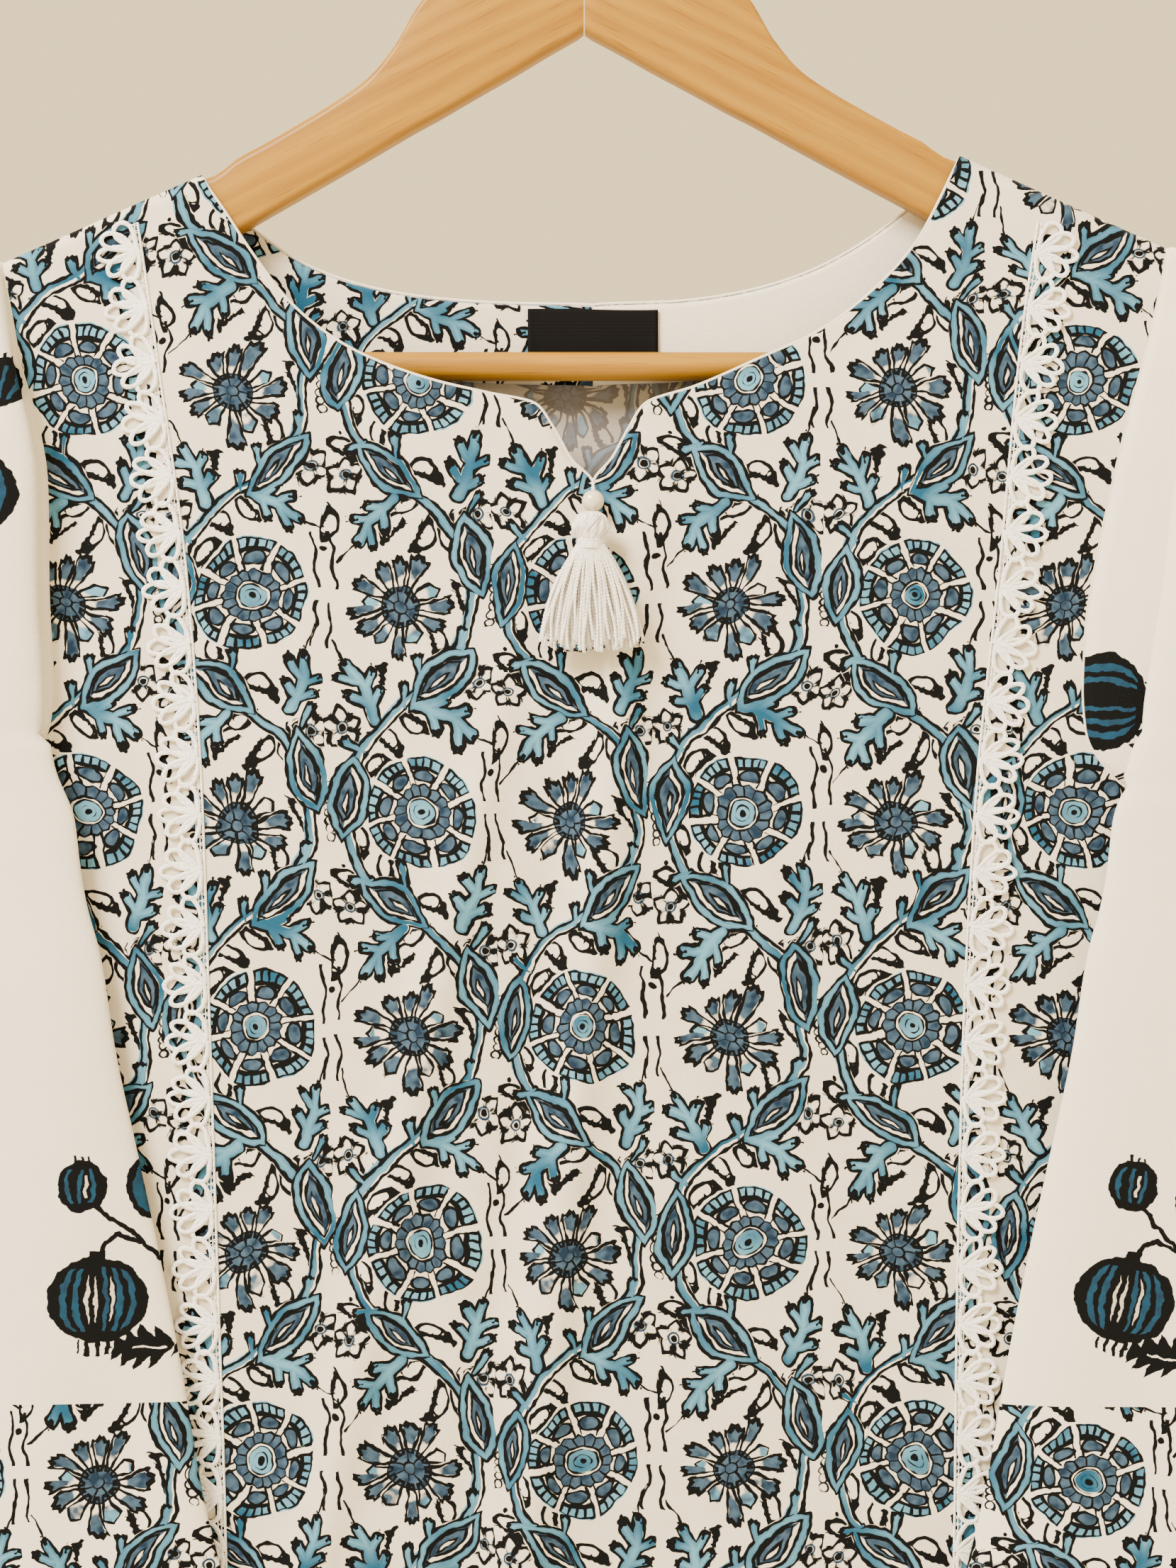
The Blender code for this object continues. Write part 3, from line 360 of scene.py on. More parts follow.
# Cloth and trim.
GAP = 0.35                   # left between two pieces that lie on each other
SEAM_HALF = 0.45
SEAT = 1.6                   # the cloth's middle above the wood it hangs on
SHOULDER_ROUND, SIDE_ROUND = 5.0, 36.0
CLOTH_WALL = 0.8             # drawn wall of every cloth piece, inside the solid's own wall
CENTRE_X = 3.0
FACING_DEPTH, FACING_START, FACING_WALL = 28.0, 0.03, 0.6
FACING_OFF, LABEL_OFF = 0.4, 1.3        # how far each lies off the cloth behind, past the gap
FACING_BELOW, LABEL_BELOW = 0.8, 1.6    # how far below the neckline each begins
LABEL_WIDTH, LABEL_DEPTH, LABEL_WALL = 45.0, 22.0, 0.5
LABEL_FOLD, LABEL_LIFT = 1.6, 0.28      # how wide its turned sides are and how far they stand up
PEARL_RADIUS, PEARL_DROP = 3.8, 161.6


# ------------------------------------------------------------ curves

def smooth(at, table, column):
    """Read a column between its rows, by the table's first column: a cubic through them that
    never overshoots a row, since its slope at a row is the harmonic mean of the slopes on both
    sides, or none at a turn."""
    knots, values = next(iter(table.values())), table[column]
    at = np.asarray(at, dtype=float)
    step = np.diff(knots)
    rise = np.diff(values) / step
    both = rise[:-1] * rise[1:]
    total = np.where(both > 0, rise[:-1] + rise[1:], 1.0)
    slope = np.concatenate([rise[:1], np.where(both > 0, 2 * both / total, 0.0), rise[-1:]])
    i = np.clip(np.searchsorted(knots, at, side="right") - 1, 0, len(step) - 1)
    f = (at - knots[i]) / step[i]
    start = (1 + 2 * f) * (1 - f) ** 2 * values[i] + f * (1 - f) ** 2 * step[i] * slope[i]
    end = f * f * (3 - 2 * f) * values[i + 1] - f * f * (1 - f) * step[i] * slope[i + 1]
    return start + end


def ramp(value, low, high):
    """0 below low, 1 above high, and an S curve between them."""
    f = np.clip((np.asarray(value, dtype=float) - low) / (high - low), 0.0, 1.0)
    return f * f * (3 - 2 * f)


def bulge(f):
    """A half ellipse over 0 to 1: upright at both ends, 1 in the middle."""
    return np.sqrt(np.clip(1 - (2 * f - 1) ** 2, 0.0, 1.0))


def eased(steps):
    """Places from 0 to 1 that lie closer together at both ends, as half a cosine."""
    return (1 - np.cos(np.pi * np.arange(steps + 1) / steps)) / 2


def placed(x, y, drop):
    """Points from their three parts, each a value or an array that fits the others."""
    return np.stack(np.broadcast_arrays(x, y, drop), axis=-1).astype(float)


def around_turn(count):
    """The angles of a ring's points."""
    return np.arange(count) * math.tau / count


def even_rows(knots, each):
    """The knots with each span between them cut into the same number of steps."""
    place = np.arange((len(knots) - 1) * each + 1) / each
    return np.interp(place, np.arange(len(knots)), knots)


def unit(vectors):
    """Vectors brought to length 1."""
    return vectors / np.maximum(np.linalg.norm(vectors, axis=-1, keepdims=True), 1e-9)


def walked_along(points):
    """The length walked along a path to each of its points."""
    return np.concatenate([[0], np.cumsum(np.linalg.norm(np.diff(points, axis=0), axis=1))])


def at_lengths(points, at):
    """The places that lie at some lengths along a path."""
    walked = walked_along(points)
    return np.stack([np.interp(at, walked, column) for column in np.transpose(points)], axis=-1)


def along_path(points, step):
    """A path's points spaced evenly at about one step."""
    points = np.asarray(points, dtype=float)
    long = walked_along(points)[-1]
    return at_lengths(points, np.linspace(0, long, max(int(round(long / step)), 1) + 1))


# ------------------------------------------------------------ the body's surfaces

def shoulder_drop(x):
    """The shoulder seam's drop above any x, level inside the neck points."""
    ends = ("left_out", "left_in", "right_in", "right_out")
    return np.interp(x, [FRONT[f"{end}_x"][0] for end in ends], [FRONT[end][0] for end in ends])


def folds_at(folds, x, drop):
    """The height of all folds at each place: each is a bell across, grown over its drops."""
    x, drop = (part[..., None] for part in np.broadcast_arrays(x, drop))
    along = (drop - folds["from"]) / (folds["to"] - folds["from"])
    centre = folds["x_top"] + (folds["x_bottom"] - folds["x_top"]) * along
    bell = np.exp(-((x - centre) / folds["width"]) ** 2)
    return (folds["height"] * ramp(along, 0.0, 1.0) * bell).sum(axis=-1)


def creases_at(x, drop):
    """The height of all creases: each is a bell of the distance to the line between its ends."""
    x, drop = (part[..., None] for part in np.broadcast_arrays(x, drop))
    span_x, span = CREASES["x_b"] - CREASES["x_a"], CREASES["drop_b"] - CREASES["drop_a"]
    dx, dd = x - CREASES["x_a"], drop - CREASES["drop_a"]
    f = np.clip((dx * span_x + dd * span) / (span_x ** 2 + span ** 2), 0.0, 1.0)
    away = np.hypot(dx - f * span_x, dd - f * span)
    return (CREASES["height"] * np.exp(-(away / CREASES["width"]) ** 2)).sum(axis=-1)


def hang_off(facing, x, drop, share=1.0):
    """How far back a panel's middle lies: off the middle plane by HANG, its folds and its
    creases, turned in over the arm by a quarter ellipse."""
    column, folds = ("front", FOLDS) if facing < 0 else ("back", BACK_FOLDS)
    hang = smooth(drop, HANG, column) + folds_at(folds, x, drop)
    if facing < 0:
        hang = hang + creases_at(x, drop)
    below = np.clip((drop - shoulder_drop(x)) / SHOULDER_ROUND, 0.0, 1.0)
    return facing * (SEAM_HALF + (hang - SEAM_HALF) * np.sqrt(1 - (1 - below) ** 2) * share)


def panel_surface(panel, facing, side, rows, across):
    """The middle of a body panel's wall on a grid of rows and places across, 0 at the inner edge
    and 1 at the outer one. At the closed part of the side it turns in by a quarter ellipse."""
    rows, across = np.broadcast_arrays(np.asarray(rows, float), np.asarray(across, float))
    in_x, inner, out_x, outer = (smooth(rows, panel, f"{side}_{name}")
                                 for name in ("in_x", "in", "out_x", "out"))
    x = in_x + (out_x - in_x) * across
    drop = inner + (outer - inner) * across
    inward = np.clip(np.abs(out_x - x) / SIDE_ROUND, 0.0, 1.0)
    lifted = SLIT_LIFT * ramp(rows, SLIT_TOP, SLIT_TOP + SLIT_EASES)
    closed = ramp(rows, SIDE_CLOSES, ARMHOLE_END) * (1 - lifted)
    at_side = 1 - closed * (1 - np.sqrt(1 - (1 - inward) ** 2))
    return placed(x, hang_off(facing, x, drop, at_side), drop)


def front_side(facing, x, drop):
    """How far back a panel's front side lies, away from its side seams: the outer face of the
    tunic's front, or the inner face of its back."""
    return hang_off(facing, x, drop) - CLOTH_WALL / 2


def armhole(panel, facing, side, f):
    """The armhole seam's sleeve side, f from 0 at the shoulder to 1 at the underarm: the
    panel's own edge moved out by half a wall."""
    row = np.asarray(f, dtype=float) * ARMHOLE_END
    here, ahead, behind = (panel_surface(panel, facing, side, np.clip(row + step, 0, 1), 1.0)
                           for step in (0.0, 0.004, -0.004))
    along = unit((ahead - behind)[..., (0, 2)])
    return here + placed(along[..., 1], 0.0, -along[..., 0]) * CLOTH_WALL / 2 * SIDES[side]


def sleeve_slice(side, start, end):
    """A level slice of a sleeve, from the armhole's front edge to its back edge, and its place in
    the cut: the tuck that runs in over the panel to the inner fold, or higher up the pleat that
    runs out under the front layer and back to its fold, the front layer out to the outer fold,
    and the back layer. A layer is a straight line with a half ellipse added."""
    sign, drop = SIDES[side], start[2]
    below = drop - armhole(FRONT, -1, side, 0.0)[2]
    out_x, out_y, front, back = (float(smooth(below, SLEEVE, name))
                                 for name in ("out_x", "out_y", "front", "back"))
    seam_x, seam_y = sign * start[0], start[1]
    stands = float(ramp(drop, PLEAT_FROM, PLEAT_FULL))
    fold_x = float(smooth(drop, TUCK, "x")) + (RIGHT_SLEEVE_OUT if side == "right" else 0.0)
    if drop < TUCK["drop"][0] or fold_x > seam_x - LEAST_TUCK:
        fold_x = seam_x + float(np.interp(drop, PLEAT["drop"], PLEAT[side]))
        pleated = float(ramp(fold_x - seam_x, 0.0, PLEAT_FULL_LEAD))
        turn_x, turn_y = fold_x + PLEAT_DEEP * pleated, seam_y - PLEAT_UNDER * pleated
        fold_y = seam_y + (-TUCK_FORWARD - seam_y) * PLEAT_REACH * stands
        knots = [(seam_x, seam_y), ((seam_x + turn_x) / 2, (seam_y + turn_y) / 2),
                 (turn_x, turn_y), ((turn_x + fold_x) / 2, (turn_y + fold_y) / 2)]
    else:
        pleated, fold_y = 0.0, -TUCK_FORWARD
        behind = 1 + seam_y / TUCK_LIES
        knots = [(seam_x, seam_y),
                 (seam_x + 1.6 * behind - 1.2 * (1 - behind), (seam_y - TUCK_LIES) / 2),
                 (seam_x + 0.6 * behind - 3.0 * (1 - behind), -TUCK_LIES),
                 ((seam_x + fold_x) / 2, -(TUCK_LIES + 0.3 * (TUCK_FORWARD - TUCK_LIES)))]
    knots.append((fold_x, fold_y))
    tuck = [even_rows(column, TUCK_STEPS)[:-1] for column in np.transpose(knots)]
    part = eased(SLEEVE_FRONT_STEPS)
    front_x = fold_x + (out_x - fold_x) * part
    front_y = fold_y + (-out_y - fold_y) * part
    flatter = FLATTER * stands * (1 - ramp(drop, *FLATTER_TO))
    front_y = front_y - front * (1 - flatter) * bulge(part)
    part = eased(SLEEVE_BACK_STEPS)[1:]
    back_x = out_x + (sign * end[0] - out_x) * part
    back_y = -out_y + (end[1] + out_y) * part + back * bulge(part)
    hidden = 2 * fold_x - tuck[0]
    if pleated > 0:
        hidden[:TURN_AT] -= 2 * (turn_x - tuck[0][:TURN_AT])
    across = np.linspace(0, 1, len(front_x) + len(back_x))
    level = drop + (end[2] - drop) * np.concatenate([0 * hidden, across])
    cut = np.concatenate([hidden, front_x, 2 * out_x - back_x])
    return (placed(sign * np.concatenate([tuck[0], front_x, back_x]),
                   np.concatenate([tuck[1], front_y, back_y]), level),
            np.stack([sign * cut, level], axis=-1))


def sleeve_surface(side):
    """A sleeve's slices, down the armhole and then to the hem, and their places in the cut."""
    places = even_rows([0, 0.012, 0.04, 0.11, 0.23, 0.41, 0.47, 0.53, 0.6], 6) / ARMHOLE_END
    slices = [sleeve_slice(side, armhole(FRONT, -1, side, f), armhole(BACK, 1, side, f))
              for f in places]
    slices[0][0][:] = (slices[0][0][0] + slices[0][0][-1]) / 2
    under = (slices[-1][0][0] + slices[-1][0][-1]) / 2
    under[0] = SIDES[side] * (SLEEVE_KNEE_X - 0.8)
    slices[-1][0][0] = slices[-1][0][-1] = under
    for drop in even_rows([285, 292, 302, 318, 345, 385, 440, 520, 602], 5)[2:]:
        forward = TUCK_LIES * float(ramp(drop, under[2], SLEEVE_HUNG))
        knee = np.array([SIDES[side] * SLEEVE_KNEE_X, under[1] - forward, drop])
        slices.append(sleeve_slice(side, knee, knee))
    points, cut = (np.array(part) for part in zip(*slices))
    x, y, drop = np.moveaxis(points, -1, 0)
    ripple = 0.7 * np.sin(x * 0.11 + 1.3 * np.sin(drop * 0.013))
    away = np.minimum(np.arange(x.shape[1]), np.arange(x.shape[1])[::-1])
    y += ripple * ramp(away, 3, 14) * ramp(drop, 250, 420)
    return points, cut


# ------------------------------------------------------------ meshes

def grid_quads(rows, columns, ring=False, flip=False):
    """Faces of a grid stored row by row, closed round each row when it is a ring."""
    j, i = np.mgrid[0:rows - 1, 0:columns - (0 if ring else 1)]
    beside = (i + 1) % columns
    quads = np.stack([j * columns + i, j * columns + beside,
                      (j + 1) * columns + beside, (j + 1) * columns + i], axis=-1).reshape(-1, 4)
    return (quads[:, ::-1] if flip else quads).tolist()


def put_mesh(name, node_name, finish_name, points, faces=None, flip=False, cut=None, wall=0.0,
             inside=None, weld=True, stands_in=True, sheet=None):
    """A finished piece, from its points and faces or from a grid of points: welded, given its wall
    and its place in the cut as a UV map in metres, given its finish and riding on the body. A flat
    cut is x and drop as they are. The wall's inner side may have a finish of its own. The piece
    stands in for the node's solid unless it is a detail. Cloth is also measured as a flat sheet;
    how it is held and what it rests on are not used."""
    if faces is None:
        faces = grid_quads(*points.shape[:2], flip=flip)
    points = points.reshape(-1, 3) * MM
    mesh = bpy.data.meshes.new(name)
    mesh.from_pydata((points * (1, 1, -1) - (0, 0, HOOK_ABOVE * MM)).tolist(), [], faces)
    if cut is not None:
        corner = np.empty(len(mesh.loops), dtype=np.int32)
        mesh.loops.foreach_get("vertex_index", corner)
        cut = points[:, (0, 2)] if isinstance(cut, str) else cut.reshape(-1, 2) * MM
        mesh.uv_layers.new(name="cut").data.foreach_set("uv", cut[corner].ravel())
    for each in filter(None, (finish_name, inside)):
        mesh.materials.append(surface(each))
    obj = bpy.data.objects.new(name, mesh)
    bpy.context.scene.collection.objects.link(obj)
    if weld:
        weld_mesh(mesh, closed=wall == 0.0)
    mesh.shade_smooth()
    mesh.set_sharp_from_angle(angle=math.radians(SHARP_FROM))
    if wall:
        thicken = obj.modifiers.new("Wall", "SOLIDIFY")
        thicken.thickness, thicken.offset = wall * MM, 0.0
        thicken.material_offset = 1 if inside else 0
    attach(obj, BODY)
    if stands_in:
        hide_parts(node_name)
    if sheet:
        declare_sheet(obj, *sheet)
    return obj


def weld_mesh(mesh, closed):
    """Join points that fall together, and face a closed shape outward."""
    work = bmesh.new()
    work.from_mesh(mesh)
    bmesh.ops.remove_doubles(work, verts=work.verts, dist=WELD)
    bmesh.ops.dissolve_degenerate(work, edges=work.edges, dist=LEAST_EDGE)
    if closed:
        bmesh.ops.recalc_face_normals(work, faces=work.faces)
    work.to_mesh(mesh)
    work.free()


def declare_sheet(obj, held, rests_on):
    """Measure a piece as a flat sheet of cloth: the width and length that its cut map spans, with
    the width widened to its own area where that is not the whole rectangle. The sizes are not kept."""
    mesh = obj.data
    place = np.empty(len(mesh.loops) * 2)
    mesh.uv_layers["cut"].data.foreach_get("uv", place)
    width, length = np.ptp(place.reshape(-1, 2), axis=0)
    area = sum(face.area for face in mesh.polygons)
    width = max(width, area / length)


def tube_points(path, radius, around, flat=1.0):
    """Rings of points round each path: square to it, in the plane of the cloth and out of it.
    The path holds x, y and drop; leading axes hold any number of equal paths. The radius is one
    for all, or one for each point."""
    along = unit(np.gradient(path, axis=-2))
    out = unit(np.array([0.0, -1.0, 0.0]) + along * along[..., 1:2])
    beside = np.cross(along, out)
    turn = around_turn(around)[:, None]
    radius = np.broadcast_to(radius, path.shape[:-1])[..., None, None]
    return (path[..., None, :] + radius * (np.cos(turn) * beside[..., None, :]
            + flat * np.sin(turn) * out[..., None, :]))


def many_tubes(rings):
    """Points and faces of many equal tubes from their rings, each closed by a fan at its ends."""
    count, steps, around = rings.shape[:3]
    ends = np.stack([rings[:, 0].mean(axis=1), rings[:, -1].mean(axis=1)], axis=1)
    points = np.concatenate([rings.reshape(count, -1, 3), ends], axis=1)
    i = np.arange(around)
    beside, top, low = (i + 1) % around, (steps - 1) * around, steps * around
    fans = np.concatenate([np.stack([beside, i, 0 * i + low], axis=-1),
                           np.stack([top + i, top + beside, 0 * i + low + 1], axis=-1)])
    faces = grid_quads(steps, around, ring=True) + fans.tolist()
    starts = range(0, count * (low + 2), low + 2)
    return points.reshape(-1, 3), [[v + start for v in face] for start in starts for face in faces]


def joined(parts):
    """Points and faces of several parts as one list each."""
    points, faces, start = [], [], 0
    for made, sides in parts:
        points.append(made.reshape(-1, 3))
        faces += [[v + start for v in face] for face in sides]
        start += len(points[-1])
    return np.concatenate(points), faces


# ------------------------------------------------------------ materials


def linear(colour):
    """An sRGB hex colour as linear red, green and blue."""
    parts = [int(colour[i:i + 2], 16) / 255 for i in (1, 3, 5)]
    return tuple(c / 12.92 if c <= 0.04045 else ((c + 0.055) / 1.055) ** 2.4 for c in parts)


def node(tree, kind, links, settings):
    """Add one node: settings are its properties, links its inputs by name or number, each a
    socket to join or a plain value. Gives the node back."""
    made = tree.nodes.new("ShaderNode" + kind)
    for key, value in settings.items():
        setattr(made, key, value)
    for key, value in links.items():
        if isinstance(value, bpy.types.NodeSocket):
            tree.links.new(value, made.inputs[key])
        else:
            made.inputs[key].default_value = value
    return made


class Field(np.lib.mixins.NDArrayOperatorsMixin):
    """A value at each place of a surface: a node that is still to be made, its inputs in order or
    by their capitalised names, its settings, and which output counts. Numpy's sums, products,
    roots and sines of fields are fields too."""
    NAMES = {"sin": "SINE", "cos": "COSINE", "less": "LESS_THAN", "greater": "GREATER_THAN",
             "remainder": "FLOORED_MODULO"}

    def __init__(self, kind, *inputs, output=0, **named):
        self.kind, self.output = kind, output
        self.links = {i: part for i, part in enumerate(inputs) if part is not None}
        self.links.update((key, named.pop(key)) for key in list(named) if key[0].isupper())
        self.settings = named

    def __array_ufunc__(self, ufunc, method, *inputs):
        name = ufunc.__name__
        return Field("Math", *inputs, operation=self.NAMES.get(name, name.upper()))


def laid(tree, field, made):
    """The socket that carries a field. Each field's node is added once, and kept in made."""
    if isinstance(field, Field):
        if id(field) not in made:
            links = {key: laid(tree, part, made) for key, part in field.links.items()}
            made[id(field)] = (node(tree, field.kind, links, field.settings), field)
        return made[id(field)][0].outputs[field.output]
    return field


def folded(value, width):
    """A value that runs up and down between 0 and a width."""
    return Field("Math", value, width, operation="PINGPONG")


def straight(value, slope, start):
    """A straight line of a value, kept between 0 and 1."""
    return Field("Math", value, slope, start, operation="MULTIPLY_ADD", use_clamp=True)


def parts_of(place, count=2):
    """A place's parts as fields of their own."""
    return [Field("SeparateXYZ", place, output=i) for i in range(count)]


def least(*fields):
    """The smallest of several fields: the outline of shapes joined together."""
    return functools.reduce(np.minimum, fields)


def most(*fields):
    """The largest of several fields: the outline of what several shapes share."""
    return functools.reduce(np.maximum, fields)


def root(a, b, a_share=1.0, b_share=1.0):
    """The root of two squares' sum, each square by its share: the radius of an ellipse."""
    a, b = (part * part if share == 1.0 else part * part * share
            for part, share in ((a, a_share), (b, b_share)))
    return np.sqrt(a + b)


def inked(outline, soft=0.12):
    """1 where an outline's distance is below zero and 0 above it, softened over soft mm."""
    return straight(outline, -1.0 / soft, 0.5)


def nearest(place, spots):
    """The place as seen from the closest of several spots, along its turn and across it. Each
    spot is its x and drop, its turn in degrees and 1, or -1 where it is a mirror image."""
    best = far = None
    for x, drop, turn, hand in rows_of(4, spots).tolist():
        offset = Field("VectorMath", place, (-x, -drop, 0.0), operation="ADD")
        seen = Field("VectorRotate", Vector=offset, Angle=-math.radians(turn),
                     rotation_type="Z_AXIS")
        if hand < 0:
            seen = Field("VectorMath", seen, (1.0, -1.0, 1.0), operation="MULTIPLY")
        away = Field("VectorMath", offset, output=1, operation="LENGTH")
        if best is None:
            best, far = seen, away
        else:
            best = Field("Mix", np.less(away, far), None, None, None, best, seen, output=1,
                         data_type="VECTOR")
            far = np.minimum(far, away)
    return best


def limb(place, start, end, radius):
    """How far a place is from a straight limb with round ends, less its radius, and how far it
    is from a point just past the limb's end."""
    span = np.subtract(end, start)
    long = float(span @ span)
    begun = Field("VectorMath", place, (*np.negative(start), 0.0), operation="ADD")
    part = Field("VectorMath", begun, (*span / long, 0.0), output=1, operation="DOT_PRODUCT")
    part = Field("Math", part, 0.0, operation="ADD", use_clamp=True)
    foot = Field("VectorMath", (*span, 0.0), None, None, part, operation="SCALE")
    past = (*span * (1.0 + 1.1 / math.sqrt(long)), 0.0)
    away, tip = (Field("VectorMath", begun, to, output=1, operation="DISTANCE")
                 for to in (foot, past))
    return away - radius, tip


def limbs(place, joints):
    """Several limbs of a place, each given by the parts of its start and end and its radius."""
    return [limb(place, joint[:2], joint[2:4], joint[4]) for joint in rows_of(5, joints).tolist()]


# The block's lattice in millimetres: stripes stand this far apart, and each motif comes back
# after one repeat, half a repeat lower in every other stripe. A spot is x, drop, turn and hand.
STRIPE, REPEAT, REPEAT_TOP, STRIPE_START = 56.5, 146.5, 193.5, -4.0
WHEEL_AT, STAR_AT, VINE_SWING = (3.5, 0.0), (-2.0, 76.5), 22.3
NOISE_SHIFT = 3.55           # the mean of the two noises' shifts, taken off again
PODS = """
    -21.8 -4 98 1
    -6.4 31 37 -1
    22 59.5 77 -1
    12.5 102 135 1
    """
LEAVES = """
    13.8 -30.5 25 -1
    -11.5 48.8 136 1
    -16.2 -41.5 -110 1
    20.4 28.5 -70 1
    """
TWIGS = """
    -0.4 107.5 -97 1
    6.2 98 -95 1
    19.6 88.5 -88 1
    -3.4 22.5 -86 1
    -17.6 22.4 166 1
    22.6 41.5 -58 1
    -19 -22 -140 1
    """
BLOSSOMS = """
    -22.6 -28.5 80 1
    -22 32.5 20 1
    24 46 10 1
    23.6 102.5 60 1
    """
LEAFLETS = """
    -6.5 -25.5 30 1
    2.5 -28.8 35 -1
    -12.6 -16.5 -40 1
    -17.5 9 65 1
    -9.2 18 -80 1
    7 29.6 20 1
    0 43.6 160 1
    -4 48.4 145 -1
    8.2 53 115 1
    14 52 80 -1
    20.6 73 60 1
    12 89.5 70 1
    -22 22 30 1
    -25.5 50 100 1
    -11 103.5 -80 1
    """
# A lobed leaf's spine and lobes, as limbs.
LEAF_LIMBS = """
    -11 0.6 0 1.4 2
    0 1.4 8.6 -0.6 1.7
    -7 1.2 -3.4 5.8 1.5
    -1 1.2 3.4 5.8 1.5
    -6 0.6 -2 -4.2 1.5
    1 1 5.6 -4.8 1.5
    """


def wheel(x, y):
    """The wheel flower: a disc, a ring of scallops, eight spokes, a petal between each two, and a
    rim of beads cut into eight by the spokes. Angles fold back and forth inside a sector."""
    away = root(x, y)
    turn = np.arctan2(y, x) * (1.0 / math.tau) + 0.04
    spoke = folded(turn * 8.0, 0.5) * away * (math.tau / 8)
    scallop = folded(turn * 14.0, 0.5)
    bead = folded(turn * 40.0 + 0.5, 0.5) * away * (math.tau / 40)
    ring = most(away - 8.6 - scallop * 1.7, 5.2 - away)
    half = folded(turn * 8.0 + 0.5, 0.5) * away * (math.tau / 8)
    petal = root(half, away - 12.6, 0.075, 0.24) * 2.3 - 2.3
    rim = most(abs(away - 16.9) - 2.3, 1.15 - spoke)
    beads = most(abs(away - 17.3) - 1.2, 0.48 - bead, 1.6 - spoke)
    cut = most(scallop * away * (math.tau / 14) - 0.26, abs(away - 6.9) - 1.8)
    spokes = most(abs(spoke - 1.2) - 0.36, abs(away - 14.2) - 5.0)
    ink = least(abs(ring) - 0.34, abs(away - 4.15) - 0.26, away - 1.1, cut, abs(petal) - 0.4,
                spokes, most(rim, -1.0 * beads), abs(away - 2.3) - 0.12)
    washed = most(abs(away - 17.2) - 2.1, 1.4 - spoke)
    return {"ink": ink, "stem": least(away - 4.1, washed), "slate": least(ring, petal),
            "field": away - 19.6}


def star(x, y):
    """The star flower: twelve petals of uneven length round a heart of seven beads. A petal's
    half width grows along it, and its end is a crown of points."""
    away = root(x, y)
    turn = np.arctan2(y, x) * (12.0 / math.tau)
    number = np.floor(turn + 0.5)
    mood = np.sin(number * 2.4 + 0.6)
    off = (turn - number) * away * (math.tau / 12) + mood * (away - 6.0) * 0.13
    length = mood * 2.6 + 16.2
    along = (away - 5.6) / (length - 5.6)
    across = abs(off)
    petal = most(across - 0.7 - along * 2.5, (away - length + across * 0.7) * 0.85, 5.0 - away)
    teeth = folded(across + 0.1, 1.05)
    crown = most(abs(away - length + across * 0.6) - 0.6 - teeth * 1.1, across - 3.3)
    heart = away - 6.4
    beads = folded(turn * (7.0 / 12.0), 0.5) * away * (math.tau / 7)
    slate = most(petal + 0.45, 0.3 - along, mood * -1.0 - 0.75)
    ink = least(abs(petal) - 0.5, most(crown, mood * -1.0 - 0.6), abs(heart) - 0.32,
                most(heart, beads - 0.26, 1.8 - away), abs(away - 1.8) - 0.24)
    washed = most(petal + 0.4, mood + 0.6, 0.5 - along)
    return {"ink": ink, "stem": washed, "slate": least(heart, slate), "field": away - 7.0,
            "petal": petal}


def vine(x, y):
    """The vine's stem: its distance from a cosine wave with flattened crests, less half the
    stem. The distance across is shrunk by the wave's slope."""
    wave, slope = (turned(y * (math.tau / REPEAT)) for turned in (np.cos, np.sin))
    slope = slope * (VINE_SWING * 1.3 * math.tau / REPEAT)
    shrink = Field("Math", slope * slope + 1.0, operation="INVERSE_SQRT")
    return abs(x - 0.3 + VINE_SWING * wave * (1.35 - 0.35 * wave * wave)) * shrink - 1.2


def pods(place):
    """The eye pods: the stem splits round a lens whose half width falls as a parabola. Inside
    are a pale slip on one side, a slate bed on the other, and a dark seed with a pale slit."""
    along, across = parts_of(nearest(place, PODS))
    lens = (abs(across) - 6.5 + along * along * 0.0285) * 0.92
    stem = most(lens, -2.2 - lens, abs(along) - 15.0)
    inside = most(lens + 2.5, abs(along) - 12.0)
    seed = (abs(across - 0.6) - 2.7 + along * along * 0.038) * 0.92
    slit = (abs(across - 0.2) - 0.75 + (along - 1.5) * (along - 1.5) * 0.04) * 0.9
    ink = least(abs(inside) - 0.42, abs(seed) - 0.42, abs(slit) - 0.34)
    bed = most(inside + 0.2, -1.0 * slit, least(seed, -1.0 * across))
    return {"ink": most(ink, lens + 1.8), "stem": stem, "slate": bed, "field": lens}


def leaves(place):
    """The lobed leaves: a bent spine and leaning lobes, all round-ended limbs, a dark crown of
    points at each tip, and a long thin tendril."""
    seen = nearest(place, LEAVES)
    made = limbs(seen, LEAF_LIMBS)
    along, across = parts_of(seen)
    teeth = folded(along * 0.72 + across * 0.44, 0.85) + folded(across * 0.72 - along * 0.4, 0.85)
    crown = least(*[tip for away, tip in made[1:]]) - 0.3 - teeth * 1.35
    tendril, end = limb(seen, (9.0, -0.6), (20.0, -1.6), 0.36)
    return {"ink": least(crown, tendril), "stem": least(*[away for away, tip in made])}


def twigs(place):
    """The short twigs: one limb with a dark three-pointed end."""
    seen = nearest(place, TWIGS)
    along, across = parts_of(seen)
    stem = most(limb(seen, (-3.8, 0.0), (3.2, 0.0), 0.9)[0] - 0.1 - 0.12 * along, along - 4.0)
    crown = abs(along - 4.4 + abs(across) * 0.3) - 0.5 - folded(across, 0.85)
    return {"ink": most(crown, abs(across) - 2.2), "stem": stem}


